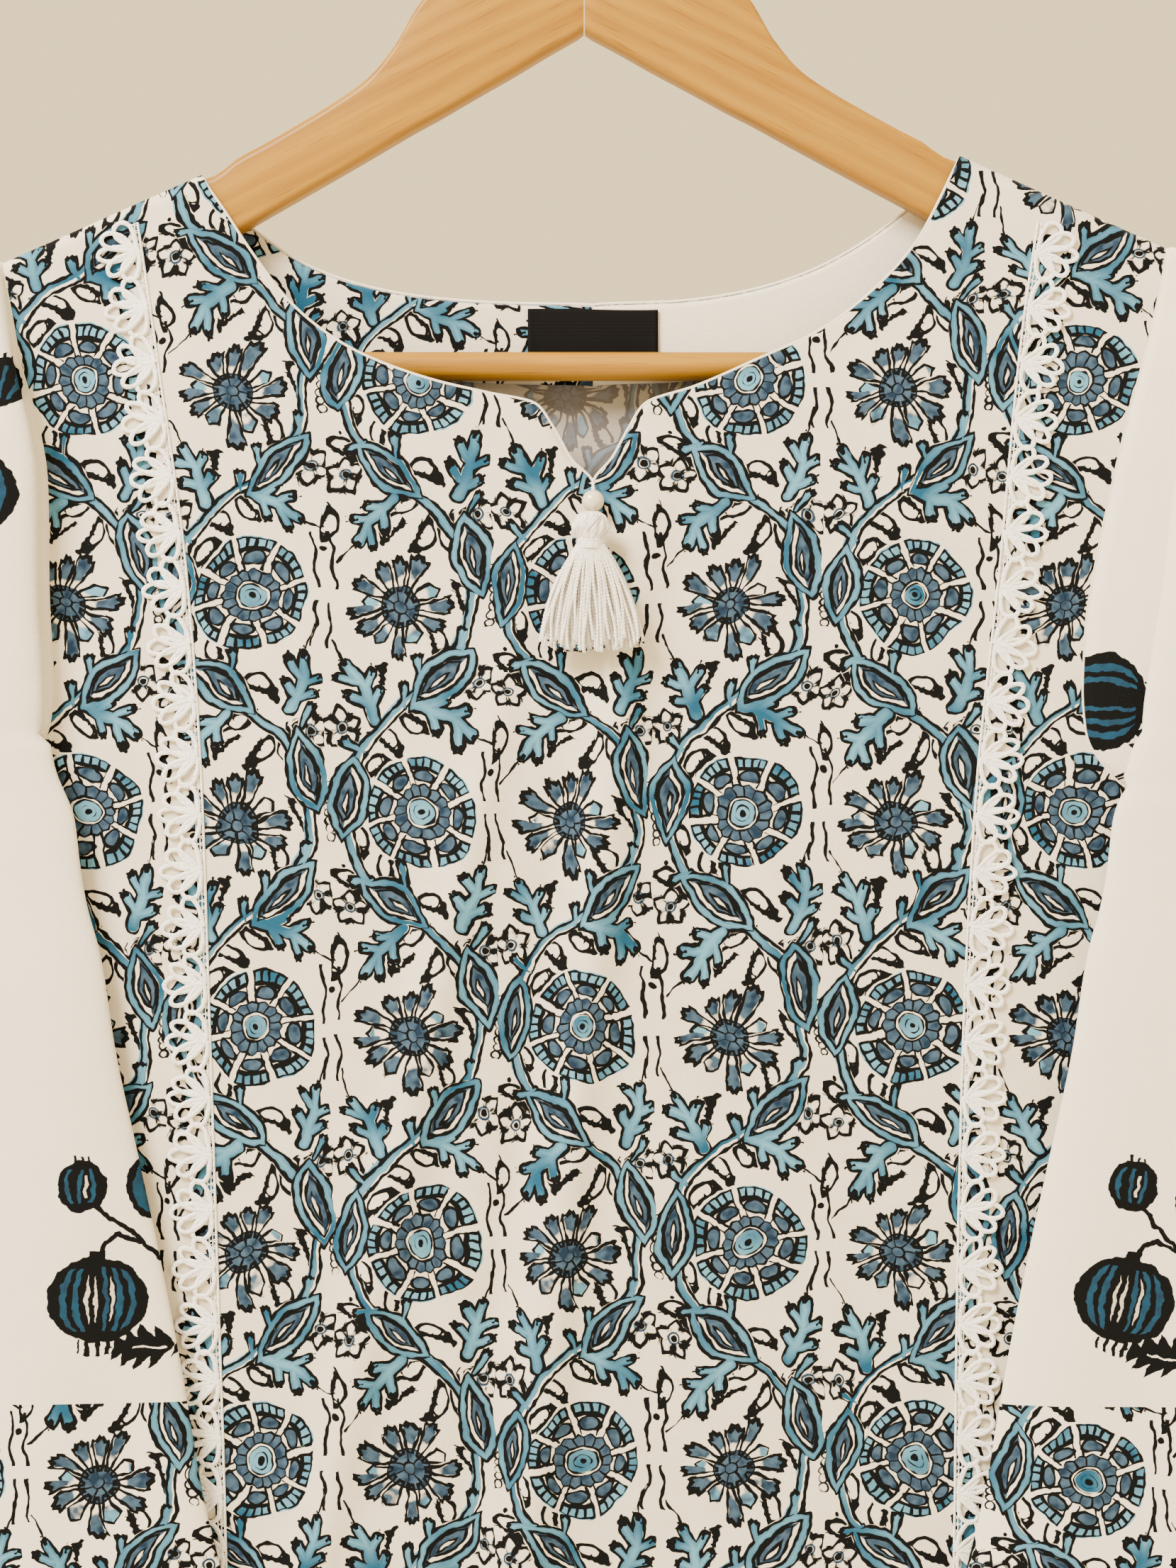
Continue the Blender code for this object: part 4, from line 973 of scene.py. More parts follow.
def blossoms(place):
    """The small five-petalled flowers, drawn in outline with dark notches between the petals."""
    along, across = parts_of(nearest(place, BLOSSOMS))
    away = root(along, across)
    petal = folded(np.arctan2(across, along) * (5.0 / math.tau), 0.5)
    edge = (away - 3.9 - petal * 5.2) * 0.8
    notch = most(edge, 0.05 - petal, petal - 0.2, 1.4 - away)
    return {"ink": least(abs(edge) - 0.62, away - 1.2, notch,
                         most(abs(edge - 0.5) - 0.7, petal - 0.16)),
            "field": edge, "slate": most(away - 2.1, 1.3 - away)}


def leaflets(place):
    """The small leaves drawn in outline: an ellipse with a saw-toothed dark tip, on a stalk."""
    along, across = parts_of(nearest(place, LEAFLETS))
    across = across - along * along * 0.05
    edge = (root(along, across, 0.034, 0.21) - 1.0) * 2.1
    teeth = folded(along + across * 0.3, 1.15)
    tip = most(abs(edge - 0.5 + teeth * 0.4) - 0.35 - teeth * 0.75, 0.6 - along * 0.5 - across)
    stalk = most(abs(across + 0.5) - 0.4, abs(along + 6.2) - 1.9)
    return {"ink": least(abs(edge) - 0.55, tip, stalk), "field": edge}


def edge_marks(x, y):
    """The marks where two stripes meet: two wavy lines with a dot between them beside the wheel,
    a row of rungs beside the star, and a few dots."""
    wavy = abs(x + 0.5 * np.sin(y * 0.55))
    upper = most(abs(wavy - 2.6) - 0.56, abs(y + 11.5) - 9.5)
    lower = most(abs(wavy - 1.9 - y * 0.05) - 0.56, abs(y - 9.5) - 7.2)
    curl = abs(root(x - 0.4, folded(y - 63.0, 2.6) - 1.2) - 1.35) - 0.3
    return least(upper, lower, root(x, y + 14.0) - 1.2, most(curl, abs(y - 73.0) - 11.0),
                 root(x - 4.5, y - 91.0) - 0.8)


def wrapped(y, top):
    """A drop brought into the one repeat that starts at top."""
    return (y - top) % REPEAT + top


def printed(cut):
    """The whole block print at a place of the cut in millimetres: its ink, stem colour and slate
    as three fields from 0 to 1, with the wobble of a hand-cut block and ink that creeps."""
    broad, fine = (Field("TexNoise", Vector=cut, Scale=scale, Detail=detail, output=1,
                         noise_dimensions="2D") for scale, detail in ((0.045, 1.0), (0.24, 1.2)))
    for noise, by in ((broad, 6.0), (fine, 1.1)):
        cut = Field("VectorMath", noise, (by, by, 0.0), cut, operation="MULTIPLY_ADD")
    x, v = parts_of(cut)
    x, v = x - (STRIPE_START + NOISE_SHIFT), v - (REPEAT_TOP + NOISE_SHIFT)
    column, seam = np.floor(x / STRIPE + 0.5), np.floor(x / STRIPE)
    x_in = x - column * STRIPE
    y_in, seam_y = (v - at % 2.0 * (REPEAT / 2) for at in (column, seam))
    low, high = wrapped(y_in, -27.0), wrapped(y_in, -68.5)
    small_place, place_low, place_high = (Field("CombineXYZ", x_in, y)
                                          for y in (wrapped(y_in, -36.0), low, high))
    marks = edge_marks(x - seam * STRIPE - STRIPE / 2, wrapped(seam_y, -36.0))
    wheel_at = wheel(x_in - WHEEL_AT[0], high - WHEEL_AT[1])
    star_at = star(x_in - STAR_AT[0], low - STAR_AT[1])
    pod, leaf, twig = pods(place_low), leaves(place_high), twigs(place_low)
    blossom, leaflet = blossoms(small_place), leaflets(small_place)
    clear = least(wheel_at["field"], star_at["field"], pod["field"])
    flowers = -0.4 - least(wheel_at["field"], star_at["petal"])
    # The second block was set down a little askew, so the vine's blue slips past its outline.
    green, washed = (most(least(most(vine(x_in + right, low + down), -1.0 * pod["field"]),
                                pod["stem"], leaf["stem"], twig["stem"]), flowers)
                     for right, down in ((0.0, 0.0), (0.9, 0.5)))
    grain, wet = (parts_of(noise, 3)[2] for noise in (fine, broad))
    dry = (grain - 0.5) * 0.8
    small = most(least(blossom["ink"], most(leaflet["ink"], 0.6 - blossom["field"])),
                 0.9 - green, 0.5 - least(clear, star_at["petal"]))
    crowns = most(least(leaf["ink"], twig["ink"], marks), -0.2 - clear)
    ink = least(abs(green - 0.25) - 0.52, wheel_at["ink"], star_at["ink"], pod["ink"], small,
                crowns) + dry
    stem = least(washed - 0.1, wheel_at["stem"], star_at["stem"]) + (wet - 0.5) * 1.6
    slate = least(wheel_at["slate"], star_at["slate"], pod["slate"], blossom["slate"]) + dry * 0.5
    return {"ink": inked(ink), "stem": inked(stem), "slate": inked(slate), "wet": wet,
            "rim": inked(abs(green + 0.5) - 0.5, 0.9), "grain": grain}


def hue(name, share=1.0):
    """A colour of the panel's, darkened or lightened by a share of each of its parts."""
    return (*np.multiply(getattr(bpy.context.scene.suit_colours, name), share).tolist(), 1.0)


def layered(ground, *layers):
    """The colour of a ground with other colours laid on it in turn, each by its own amount."""
    for colour, amount in layers:
        ground = Field("Mix", amount, *[None] * 5, ground, colour, output=2, data_type="RGBA")
    return ground


def laid_over(parts, cloth):
    """Cloth, stem colour, slate and ink laid over each other as the blocks are. Stem and slate
    are deeper where they pooled: in broad patches and along the middle of a line."""
    stem = layered(hue("stem"), (hue("stem_deep"), straight(parts["wet"], 3.0, -1.15)),
                   (hue("stem_deep"), parts["rim"] * 0.5))
    slate = layered(hue("slate"), (hue("slate_deep"), straight(parts["grain"], 2.6, -0.9)))
    return layered(cloth, (stem, parts["stem"]), (slate, parts["slate"]),
                   (hue("ink"), parts["ink"]))


# A place on the piece in metres, and a place in its cut in millimetres, from its UV map.
PLACE = Field("TexCoord", output=3)
CUT = Field("VectorMath", Field("UVMap", uv_map="cut"), (1000.0, 1000.0, 0.0), operation="MULTIPLY")


def weave():
    """Plain weave: crossed waves of warp and weft. The threads, 0.35 mm apart, are drawn 0.8 mm
    apart so that they show, fine noise stands for the thicker ones, and broad noise for the soft
    crumple left by hanging. Gives the height."""
    warp, weft = (np.sin(part * (math.tau / 0.8)) for part in parts_of(CUT))
    slubs, crumple = (Field("TexNoise", Vector=CUT, Scale=scale, Detail=2.0)
                      for scale in (1.1, 0.04))
    return warp * weft * 0.35 + slubs + crumple * 3.0


# Where the sleeves' border starts down the cut, and where their big pods are: spots as above.
BORDER = {"left": 390.5, "right": 461.5}
POD_SPOTS = """
    -5.5 357 0 1
    -49 86 188 -1
    -92 292 -6 1
    -64 188 170 -1
    -128 366 186 -1
    -150 226 -8 1
    352 427 12 1
    329.5 226 92 -1
    416 318 172 -1
    436 410 6 1
    452 236 174 -1
    490 330 8 1
    """
# The pod's stems, as limbs.
POD_STEMS = """
    -1 -32 5 -26.5 0.85
    5 -26.5 13 -21 0.85
    1 -15 2.6 -19 0.85
    2.6 -19 7 -21.4 0.85
    7 -21.4 14 -19 0.85
    13 -21 25 -9 0.85
    """


def poppy_pods(cut):
    """The sleeves' big poppy pod with a second pod, a bud, stems and a leaf, at each of a few
    spots. The pod's stripes are meridians: across over the root of the radius squared less the
    height squared."""
    wobble = Field("TexNoise", Vector=cut, Scale=0.22, Detail=2.0, output=1, noise_dimensions="2D")
    cut = Field("VectorMath", wobble, (2.4, 2.4, 0.0), cut, operation="MULTIPLY_ADD")
    seen = nearest(cut, POD_SPOTS)
    across, down = parts_of(seen)
    pod = root(across, down, 0.8, 1.1) - 15.0
    part = across / np.sqrt(most(225.0 - down * down * 1.1, 1.0))
    stripes = most(pod + 2.2, least(*[abs(part - at) - wide for at, wide in (
        (-0.76, 0.08), (-0.48, 0.07), (0.2, 0.05), (0.5, 0.07), (0.78, 0.07))]) * 14.0,
        abs(down) - 10.5)
    lights = (least(*[abs(part - at) for at in (-0.22, -0.04, 0.34)]) - 0.04) * 14.0
    lights = most(lights + down * down * 0.009, abs(down + 1.0) - 8.5)
    far = root(across - 21.5, down + 38.0, 1.1, 0.95) - 12.5
    far = most(far, 300.0 - parts_of(cut)[1])
    stripes = least(stripes, abs(far + 3.6) - 1.7, abs(far + 8.6) - 1.2)
    teeth = most(folded(across, 1.6) - 0.75, abs(down - 15.8) - 3.4 + abs(across) * 0.2,
                 abs(across) - 6.5)
    cap = most(abs(down + 14.6) - 1.6, abs(across) - 4.2 - down * 0.1)
    bud_x, bud_y = across + 5.0, down + 38.0
    bud = root(bud_x, bud_y, 1.0, 0.9) - 8.2
    bud_part = bud_x / np.sqrt(most(66.0 - bud_y * bud_y, 1.0))
    bud_stripes = least(*[abs(bud_part - at) for at in (-0.62, -0.1, 0.45)]) * 8.0 - 0.7
    bud_stripes = most(bud + 1.6, bud_stripes, abs(bud_y) - 5.6)
    lights = least(lights, most(abs(bud_part - 0.18) * 8.0 - 0.4, abs(bud_y) - 3.6))
    bud_teeth = most(folded(bud_x, 1.1) - 0.45, abs(bud_y + 8.6) - 1.5, abs(bud_x) - 3.8)
    stems = least(*[away for away, tip in limbs(seen, POD_STEMS)])
    leaf_x, leaf_y = across * 0.98 - 17.5 + down * 0.17, down - 16.0
    saw = folded(leaf_x + abs(leaf_y) * 0.6, 2.5)
    leaf = abs(leaf_y) - 3.6 - saw * 1.7 + leaf_x * leaf_x * 0.036
    vein = most(abs(leaf_y - 0.2) - 0.28, abs(leaf_x - 2.0) - 5.5)
    leaf = most(leaf, abs(leaf_x) - 12.5, -1.0 * vein)
    lights = most(lights, 240.0 - parts_of(cut)[1])
    dark = least(pod, far, teeth, cap, bud, bud_teeth, stems, leaf)
    return {"ink": inked(most(dark, -1.0 * lights)), "slate": inked(least(stripes, bud_stripes)),
            "light": inked(lights)}


def finish(name, colour, height, depth=0.0003, strength=0.5, rough=None, **values):
    """A material from its colour field, its height field and its plain values."""
    made = bpy.data.materials.new(name)
    made.use_nodes = True
    tree = made.node_tree
    sockets = tree.nodes["Principled BSDF"].inputs
    for key, value in values.items():
        sockets[key.replace("_", " ")].default_value = value
    bump = Field("Bump", Height=height, Strength=strength, Distance=depth)
    done = {}
    for socket, field in (("Base Color", colour), ("Roughness", rough), ("Normal", bump)):
        if isinstance(field, Field):
            tree.links.new(laid(tree, field, done), sockets[socket])
        elif field is not None:
            sockets[socket].default_value = field


def cloth_finish(name, colour):
    """Woven cotton of a colour: matt, with hardly any shine of its own."""
    finish(name, colour, weave(), Roughness=0.92, Specular_IOR_Level=0.1)


def block_print(name):
    """Cotton printed by hand in ink outlines, that break where the block was dry and swell and
    wobble, and washed blue and slate that pool darker at their edges."""
    slub = Field("TexNoise", Vector=CUT, Scale=0.06, Detail=3.0)
    cloth = layered(hue("cloth", 0.9), (hue("cloth"), straight(slub, 2.5, -0.6)))
    cloth_finish(name, laid_over(printed(CUT), cloth))


def faded_wrong_side_with_painted_shade(name):
    """The wrong side of the printed cotton: the ink seen through the cloth, greyed and soft, on a
    ground darkened and cooled as painted shade.
    """
    # Painted shade: the cloth under the print is darkened to 0.7, and the ground to about half with
    # a cooler tint, for the inside that lies in shade.
    shown = laid_over(printed(CUT), hue("cloth", 0.7))
    cloth_finish(name, layered(hue("cloth", (0.52, 0.51, 0.6)), (shown, 0.58)))


def sleeve_print(name):
    """White cotton with a few big dark poppy pods, and the all-over print as a border below."""
    across, down = parts_of(CUT)
    parts = printed(CUT)
    border = np.greater(across, 200.0) * (BORDER["right"] - BORDER["left"]) + BORDER["left"]
    shown = straight(down - border, 4.0, 0.5)
    clear = 1.0 - shown
    parts.update({key: parts[key] * shown for key in ("ink", "stem", "slate")})
    pods_at = {key: amount * clear for key, amount in poppy_pods(CUT).items()}
    slub = Field("TexNoise", Vector=CUT, Scale=0.05, Detail=2.0)
    teal = layered(hue("stem_deep", 0.8), (hue("slate_deep"), parts["grain"]))
    colour = layered(laid_over(parts, layered(hue("white", 0.93), (hue("white"), slub))),
                     (hue("ink"), pods_at["ink"]), (teal, pods_at["slate"]),
                     (hue("cloth", 0.72), pods_at["light"]))
    cloth_finish(name, colour)


def plain_cotton(name):
    """Plain white cotton: plain weave with a few thicker threads that catch the light."""
    slub = Field("TexNoise", Vector=CUT, Scale=0.6, Detail=3.0)
    cloth_finish(name, layered(hue("white", 0.91), (hue("white"), slub)))


def guipure_cord(name):
    """Guipure lace: close satin stitches over a cord, so its ivory cords are finely ribbed, and
    soft where threads stand up. The ribs, 0.3 mm apart, are drawn 0.45 mm apart to show."""
    ribs = Field("TexNoise", Vector=PLACE, Scale=1100.0, Detail=2.0)
    finish(name, layered(hue("trim", 0.74), (hue("trim"), straight(ribs, 2.4, -0.6))), ribs,
           depth=0.0006, strength=0.7, Roughness=0.7, Specular_IOR_Level=0.3, Sheen_Weight=0.15,
           Sheen_Roughness=0.4)


def wood(name, turn, mirrored):
    """Lacquered wood: its grain runs along the piece, turn radians down from level. Broad soft
    bands, thin darker lines and short pores under a clear coat with faint ripples."""
    x, y, z = parts_of(PLACE, 3)
    if mirrored:
        x = abs(x)
    along = x * math.cos(turn) - z * math.sin(turn)
    across = x * math.sin(turn) + z * math.cos(turn)
    slow = Field("CombineXYZ", along * 6.0, y * 60.0, across * 60.0)
    grain = Field("CombineXYZ", along * 25.0, y * 900.0, across * 900.0)
    drift, lines, specks = (Field("TexNoise", Vector=place, Scale=scale, Detail=detail) for
                            place, scale, detail in ((slow, 1.0, 2.0), (grain, 1.0, 3.0),
                                                     (grain, 2.2, 1.0)))
    bands = np.sin((across * 1000.0 + drift * 14.0 + y * 350.0) * 0.9) * 0.5 + 0.5
    tone = layered(
        hue("wood"), (hue("wood", (0.62, 0.5, 0.36)), straight(bands, 0.45, lines * 0.6 - 0.12)),
        (hue("wood", (1.16, 1.24, 1.1)), straight(drift, 3.0, -1.5) * 0.6),
        (hue("wood", (0.4, 0.3, 0.2)), straight(specks, 9.0, -5.6) * 0.55))
    finish(name, tone, lines, depth=0.0002, strength=0.12, Roughness=0.5, Coat_Weight=0.16,
           Coat_Roughness=0.25, Specular_IOR_Level=0.25)


def sawn_beech(name):
    """Lacquered beech, sawn to shape: warm golden, with fine grain lines along each arm."""
    wood(name, math.radians(27), mirrored=True)


def turned_beech(name):
    """Lacquered beech dowel: the same golden wood with its grain along the bar."""
    wood(name, 0.0, mirrored=False)


def plated_steel(name):
    """Steel wire, nickel plated: bright, with faint drawing lines."""
    place = Field("Mapping", PLACE, None, None, (300.0, 300.0, 4000.0))
    lines = Field("TexNoise", Vector=place, Scale=1.0, Detail=2.0)
    finish(name, (*linear("#C9C9C6"), 1.0), lines, depth=0.0001, strength=0.15,
           rough=straight(lines, 0.14, 0.14), Metallic=1.0)


def satin_ribbon(name):
    """Black woven satin ribbon: fine ribs along its length that catch a soft sheen. Its ribs,
    0.25 mm apart, are drawn 0.5 mm apart to show."""
    ribs = np.sin(parts_of(CUT)[1] * (math.tau / 0.5)) * 0.5 + 0.5
    fleck = Field("TexNoise", Vector=CUT, Scale=1.5, Detail=2.0)
    finish(name, layered(hue("label", 0.35), (hue("label"), ribs * fleck)), ribs, depth=0.0002,
           Roughness=0.75, Specular_IOR_Level=0.12)


def pearl_bead(name):
    """A moulded pearl bead: creamy, faintly clouded, under a hard coat with a sharp highlight."""
    cloud = Field("TexNoise", Vector=PLACE, Scale=400.0, Detail=2.0)
    finish(name, layered((*linear("#D2C5B0"), 1.0), ((*linear("#EADFCC"), 1.0), cloud)), cloud,
           depth=0.0002, strength=0.08, Roughness=0.25, Specular_IOR_Level=0.7, Coat_Weight=1.0,
           Coat_Roughness=0.04)


def tassel_thread(name):
    """Twisted ivory thread: each strand is two plies, softly shining along their turns."""
    place = Field("Mapping", PLACE, None, None, (2600.0, 2600.0, 500.0))
    fibres = Field("TexNoise", Vector=place, Scale=1.0, Detail=2.0)
    shade = layered(hue("trim", (0.72, 0.68, 0.6)), (hue("trim"), straight(fibres, 2.6, -0.75)))
    finish(name, shade, fibres, depth=0.0004, strength=0.6, Roughness=0.55, Specular_IOR_Level=0.4,
           Sheen_Weight=0.15, Sheen_Roughness=0.35)


def matt_paint(name):
    """A studio floor under matt pale paint."""
    finish(name, (*linear("#E9E3D8"), 1.0), Field("TexNoise", Vector=PLACE, Scale=3.0, Detail=2.0),
           depth=0.001, strength=0.05, Roughness=0.9)


def sewing_thread(name):
    """White sewing thread, tightly twisted, a little shinier than the cloth."""
    twist = Field("TexNoise", Vector=PLACE, Scale=2500.0, Detail=1.0)
    finish(name, layered(hue("white", 0.85), (hue("white"), twist)), twist, depth=0.0002,
           strength=0.4, Roughness=0.6)


def surface(maker):
    """A finished material, named as the function that makes it, made when first asked for."""
    name = maker.__name__.replace("_", " ")
    if name not in bpy.data.materials:
        maker(name)
    return bpy.data.materials[name]


# ------------------------------------------------------------ the panel's values

def length(name, description, default, low, high):
    """A size on the panel, in metres."""
    return bpy.props.FloatProperty(name=name, description=description, default=default, min=low,
                                   max=high, unit="LENGTH")


def colour(name, description, default):
    """A colour on the panel."""
    return bpy.props.FloatVectorProperty(name=name, description=description, subtype="COLOR",
                                         default=linear(default), min=0, max=1)


class SuitSizes(bpy.types.PropertyGroup):
    """The drawn sizes of cloth, thread and trim."""
    cloth_wall: length("Cloth thickness", "Drawn thickness of the suit's cloth", 0.0008, 0.0003,
                       0.0012)
    piping: length("Neck piping", "Radius of the rolled edge round the neckline", 0.00055, 0.0004,
                   0.0015)
    lace_cord: length("Lace cord", "Radius of the lace's satin-stitched cords", 0.0008, 0.0004,
                      0.0011)
    stitch: length("Stitch length", "Length of one machine stitch", 0.0026, 0.0015, 0.005)
    stitch_gap: length("Stitch gap", "Gap between two stitches", 0.0008, 0.0003, 0.003)
    thread: length("Sewing thread", "Radius of the sewing thread", 0.0002, 0.0001, 0.0004)
    strands: bpy.props.IntProperty(
        name="Tassel strands", description="Number of twisted strands in the tassel's skirt",
        default=88, min=20, max=100)


class SuitColours(bpy.types.PropertyGroup):
    """The colours of the cloth, the print and the trim."""
    cloth: colour("Printed cloth", "Ground of the printed cotton", "#E3DAC8")
    ink: colour("Outline ink", "Dark ink of the print's outlines", "#0B0C0D")
    stem: colour("Stem blue", "Washed blue of vines and leaves", "#6296AF")
    stem_deep: colour("Pooled stem blue", "The same blue where it pools", "#1D4D69")
    slate: colour("Slate", "Slate blue of the flowers", "#40566B")
    slate_deep: colour("Pooled slate", "The same slate where it pools", "#1A2B3E")
    white: colour("White cotton", "Sleeves, trousers and binding", "#EDE5D5")
    trim: colour("Lace and tassel", "Ivory of the lace and the tassel", "#FFFDF9")
    wood: colour("Wood", "Main colour of the hanger's wood", "#A37719")
    label: colour("Label", "Colour of the bare woven label", "#0B0A0C")


def millimetres(name):
    """One of the panel's sizes in millimetres."""
    return getattr(bpy.context.scene.suit_sizes, name) / MM


# ------------------------------------------------------------ tunic

FRONT_ROWS = (0, 0.006, 0.018, 0.04, 0.07, 0.11, 0.17, 0.23, 0.28, 0.32, 0.35, 0.38, 0.41, 0.44,
              0.47, 0.5, 0.53, 0.565, 0.6, 0.64, 0.69, 0.74, 0.79, 0.83, 0.86, 0.9, 0.95, 1.0)
BACK_ROWS = (0, 0.006, 0.018, 0.04, 0.07, 0.11, 0.17, 0.23, 0.29, 0.35, 0.41, 0.44, 0.47, 0.5,
             0.53, 0.565, 0.6, 0.66, 0.75, 0.83, 0.86, 0.93, 1.0)
PANELS = {"front": (FRONT, -1), "back": (BACK, 1)}


def body_panel(name, knots, each, columns):
    """A body panel's two halves as one sheet, with the length walked across as its cut. Its outside
    carries the print and its inside the print's wrong side, darkened as painted shade."""
    panel, facing = PANELS[name]
    rows = even_rows(knots, each)[:, None]
    across = 1 - (1 - np.arange(columns + 1) / columns) ** 1.5
    parts, cuts = [], []
    for side, sign in SIDES.items():
        grid = panel_surface(panel, facing, side, rows, across)
        walked = np.cumsum(np.hypot(np.diff(grid[..., 0]), np.diff(grid[..., 1])), axis=1)
        walked = np.pad(walked, ((0, 0), (1, 0)))
        cut = np.stack([grid[:, :1, 0] + sign * walked, grid[..., 2]], axis=-1)
        cuts.append(cut.reshape(-1, 2))
        parts.append((grid, grid_quads(*grid.shape[:2], flip=sign * facing < 0)))
    put_mesh(f"tunic_{name}", f"kameez_{name}", block_print, *joined(parts),
             cut=np.concatenate(cuts), wall=millimetres("cloth_wall"), inside=faded_wrong_side_with_painted_shade,
             sheet=("hung", ["hanger_arm_left", "hanger_arm_right"]))


class SUIT_OT_tunic_body(bpy.types.Operator):
    """Make the tunic's front and back panels"""
    bl_idname = "suit.tunic_body"
    bl_label = "Tunic body"

    def execute(self, context):
        body_panel("front", FRONT_ROWS, 5, 100)
        body_panel("back", BACK_ROWS, 4, 70)
        return {"FINISHED"}


class SUIT_OT_sleeves(bpy.types.Operator):
    """Make both sleeves, with a pleat beside the armhole and the slack under the arm tucked in"""
    bl_idname = "suit.sleeves"
    bl_label = "Sleeves"

    def execute(self, context):
        for side, sign in SIDES.items():
            points, cut = sleeve_surface(side)
            put_mesh(f"tunic_sleeve_{side}", f"sleeve_{side}", sleeve_print, points,
                     flip=sign > 0, cut=cut + SLEEVE_PRINT[side], wall=millimetres("cloth_wall"),
                     inside=plain_cotton, sheet=("hung", ["tunic_front", "tunic_back"]))
        return {"FINISHED"}


# ------------------------------------------------------------ lace

def lace_place(side, along, out, height):
    """Where the lace's own along, out and height lie on the tunic's front."""
    sign, column = SIDES[side], f"{side}_x"
    drop = LACE_TOP + along
    slope = (smooth(drop + 1, LACE, column) - smooth(drop - 1, LACE, column)) / 2
    x, level = smooth(drop, LACE, column) + sign * out, drop - sign * out * slope
    return placed(x, front_side(-1, x, level) - height, level)


def lace_edging(side):
    """The edging's cords: each petal is a drop-shaped loop, out as (1 - cos) and wide as sin
    times the root of that; and a narrow net of rails and rungs runs behind the fans."""
    fans = int((LACE_BOTTOM - LACE_TOP) / LACE_PITCH)
    cord = millimetres("lace_cord")
    t = np.linspace(0, math.tau, 23)
    reach = (1 - np.cos(t)) / 2
    at = np.arange(fans)[:, None] * LACE_PITCH
    thick = cord * (1 + 0.12 * np.sin(7 * t + at))
    parts = []
    for turn, long, width, height in zip(*PETALS.values()):
        a = math.radians(turn)
        out, wide = reach * long, width / 2 * np.sin(t) * np.sqrt(reach) * 1.35
        path_out = out * math.cos(a) - wide * math.sin(a) + LACE_FANS_FROM
        path_along = out * math.sin(a) + wide * math.cos(a) + LACE_PITCH / 2
        wobble = 0.25 * np.sin(at * 1.7 + t * 2 + turn)
        path = lace_place(side, at + path_along + wobble, path_out + wobble,
                          cord + height * np.sin(t / 2))
        parts.append(many_tubes(tube_points(path, thick, 7, flat=0.75)))
    rails = np.arange(0, fans * LACE_PITCH + 0.1, LACE_RAIL_STEP)[None]
    for out, radius in LACE_RAILS:
        parts.append(many_tubes(tube_points(lace_place(side, rails, out, radius), radius, 5)))
    rungs = np.arange(0, fans * LACE_PITCH, LACE_RUNGS)[:, None]
    lean = np.array([0.0, 0.5, 1.0])
    path = lace_place(side, rungs + 0.9 * lean * (-1) ** np.round(rungs / LACE_RUNGS),
                      0.25 + 2.45 * lean, LACE_NET)
    parts.append(many_tubes(tube_points(path, LACE_NET, 4)))
    put_mesh(f"lace_edging_{side}", f"lace_{side}", guipure_cord, *joined(parts), weld=False)


class SUIT_OT_lace(bpy.types.Operator):
    """Make the two scalloped lace edgings"""
    bl_idname = "suit.lace"
    bl_label = "Lace edgings"

    def execute(self, context):
        for side in SIDES:
            lace_edging(side)
        return {"FINISHED"}


# ------------------------------------------------------------ neck trim

def facing_surface(side, columns=40, bands=16):
    """Half of the back neck facing: a band under the neckline on the back's inner face."""
    row = FACING_START + (BACK_NECK_END - FACING_START) * np.arange(columns + 1)[:, None] / columns
    x = smooth(row, BACK, f"{side}_in_x")
    drop = (smooth(row, BACK, f"{side}_in") + FACING_BELOW
            + (FACING_DEPTH - FACING_BELOW) * np.arange(bands + 1) / bands)
    return placed(x, front_side(1, x, drop) - GAP - FACING_OFF, drop)


def label_surface(columns=36, bands=20):
    """The label: flat on the facing, its sides folded under so its edges stand a little up, and
    a soft wave across it."""
    across = np.arange(columns + 1)[:, None] / columns - 0.5
    f = np.arange(bands + 1) / bands
    x = CENTRE_X + LABEL_WIDTH * across
    top = smooth(BACK_NECK_END, BACK, "left_in") + LABEL_BELOW
    drop = top + LABEL_DEPTH * f + 0.25 * np.sin(across * 5.0)
    lift = LABEL_LIFT * np.exp(-((0.5 - np.abs(across)) * LABEL_WIDTH / LABEL_FOLD) ** 2)
    y = front_side(1, x, drop) - GAP - LABEL_OFF - lift - 0.12 * np.sin(across * 9 + f * 3) * f
    return placed(x, y, drop)


def tassel_middle():
    """The tassel's middle line in x and y: its widest part stands just off the cloth."""
    x0 = CENTRE_X - 0.8
    x = x0 + np.array([-SKIRT_HALF_BOTTOM, -6, 0, 6, SKIRT_HALF_BOTTOM])
    back = front_side(-1, x, np.array([[TASSEL_DROP], [190.0], [STRAND_END]])).min()
    return x0, back - GAP - max(TASSEL_HEAD["half_depth"])


def tassel_head(around=136, each=7):
    """The wound head and the flare below it: rings of the head's table, ribbed by the folded
    yarns, whose ribs lean as they go down."""
    drop = even_rows(TASSEL_HEAD["drop"], each)[:, None]
    inside = 1 - 0.6 * ramp(drop, TASSEL_NECK, 180.0)
    width, depth = (smooth(drop, TASSEL_HEAD, name) * inside
                    for name in ("half_width", "half_depth"))
    x0, y0 = tassel_middle()
    turn = around_turn(around)
    lean = turn + 0.13 * (drop - drop[0])
    lean = lean + 0.2 * np.sin(lean * 3 + 0.5 * drop)
    rib = (1 - 0.16 * (1 - np.abs(np.sin(lean * 10))) ** 1.5) * (1 + 0.03 * np.sin(lean * 5))
    return placed(x0 + width * np.cos(turn) * rib, y0 + depth * np.sin(turn) * rib, drop)


def wound(middle, turn, width, depth, radius, around):
    """Rings of a thread wound round a middle line by its turns, on an ellipse of two half
    sizes."""
    return tube_points(middle + placed(width * np.cos(turn), depth * np.sin(turn), 0.0), radius,
                       around)


def neck_thread(top, long, turns, width, depth, radius, around=8):
    """The thread wound round the tassel's neck, down from its top."""
    f = np.linspace(0, 1, 28 * turns + 1)
    middle = placed(*tassel_middle(), top + long * f)[None]
    return many_tubes(wound(middle, math.tau * turns * f, width, depth, radius, around))


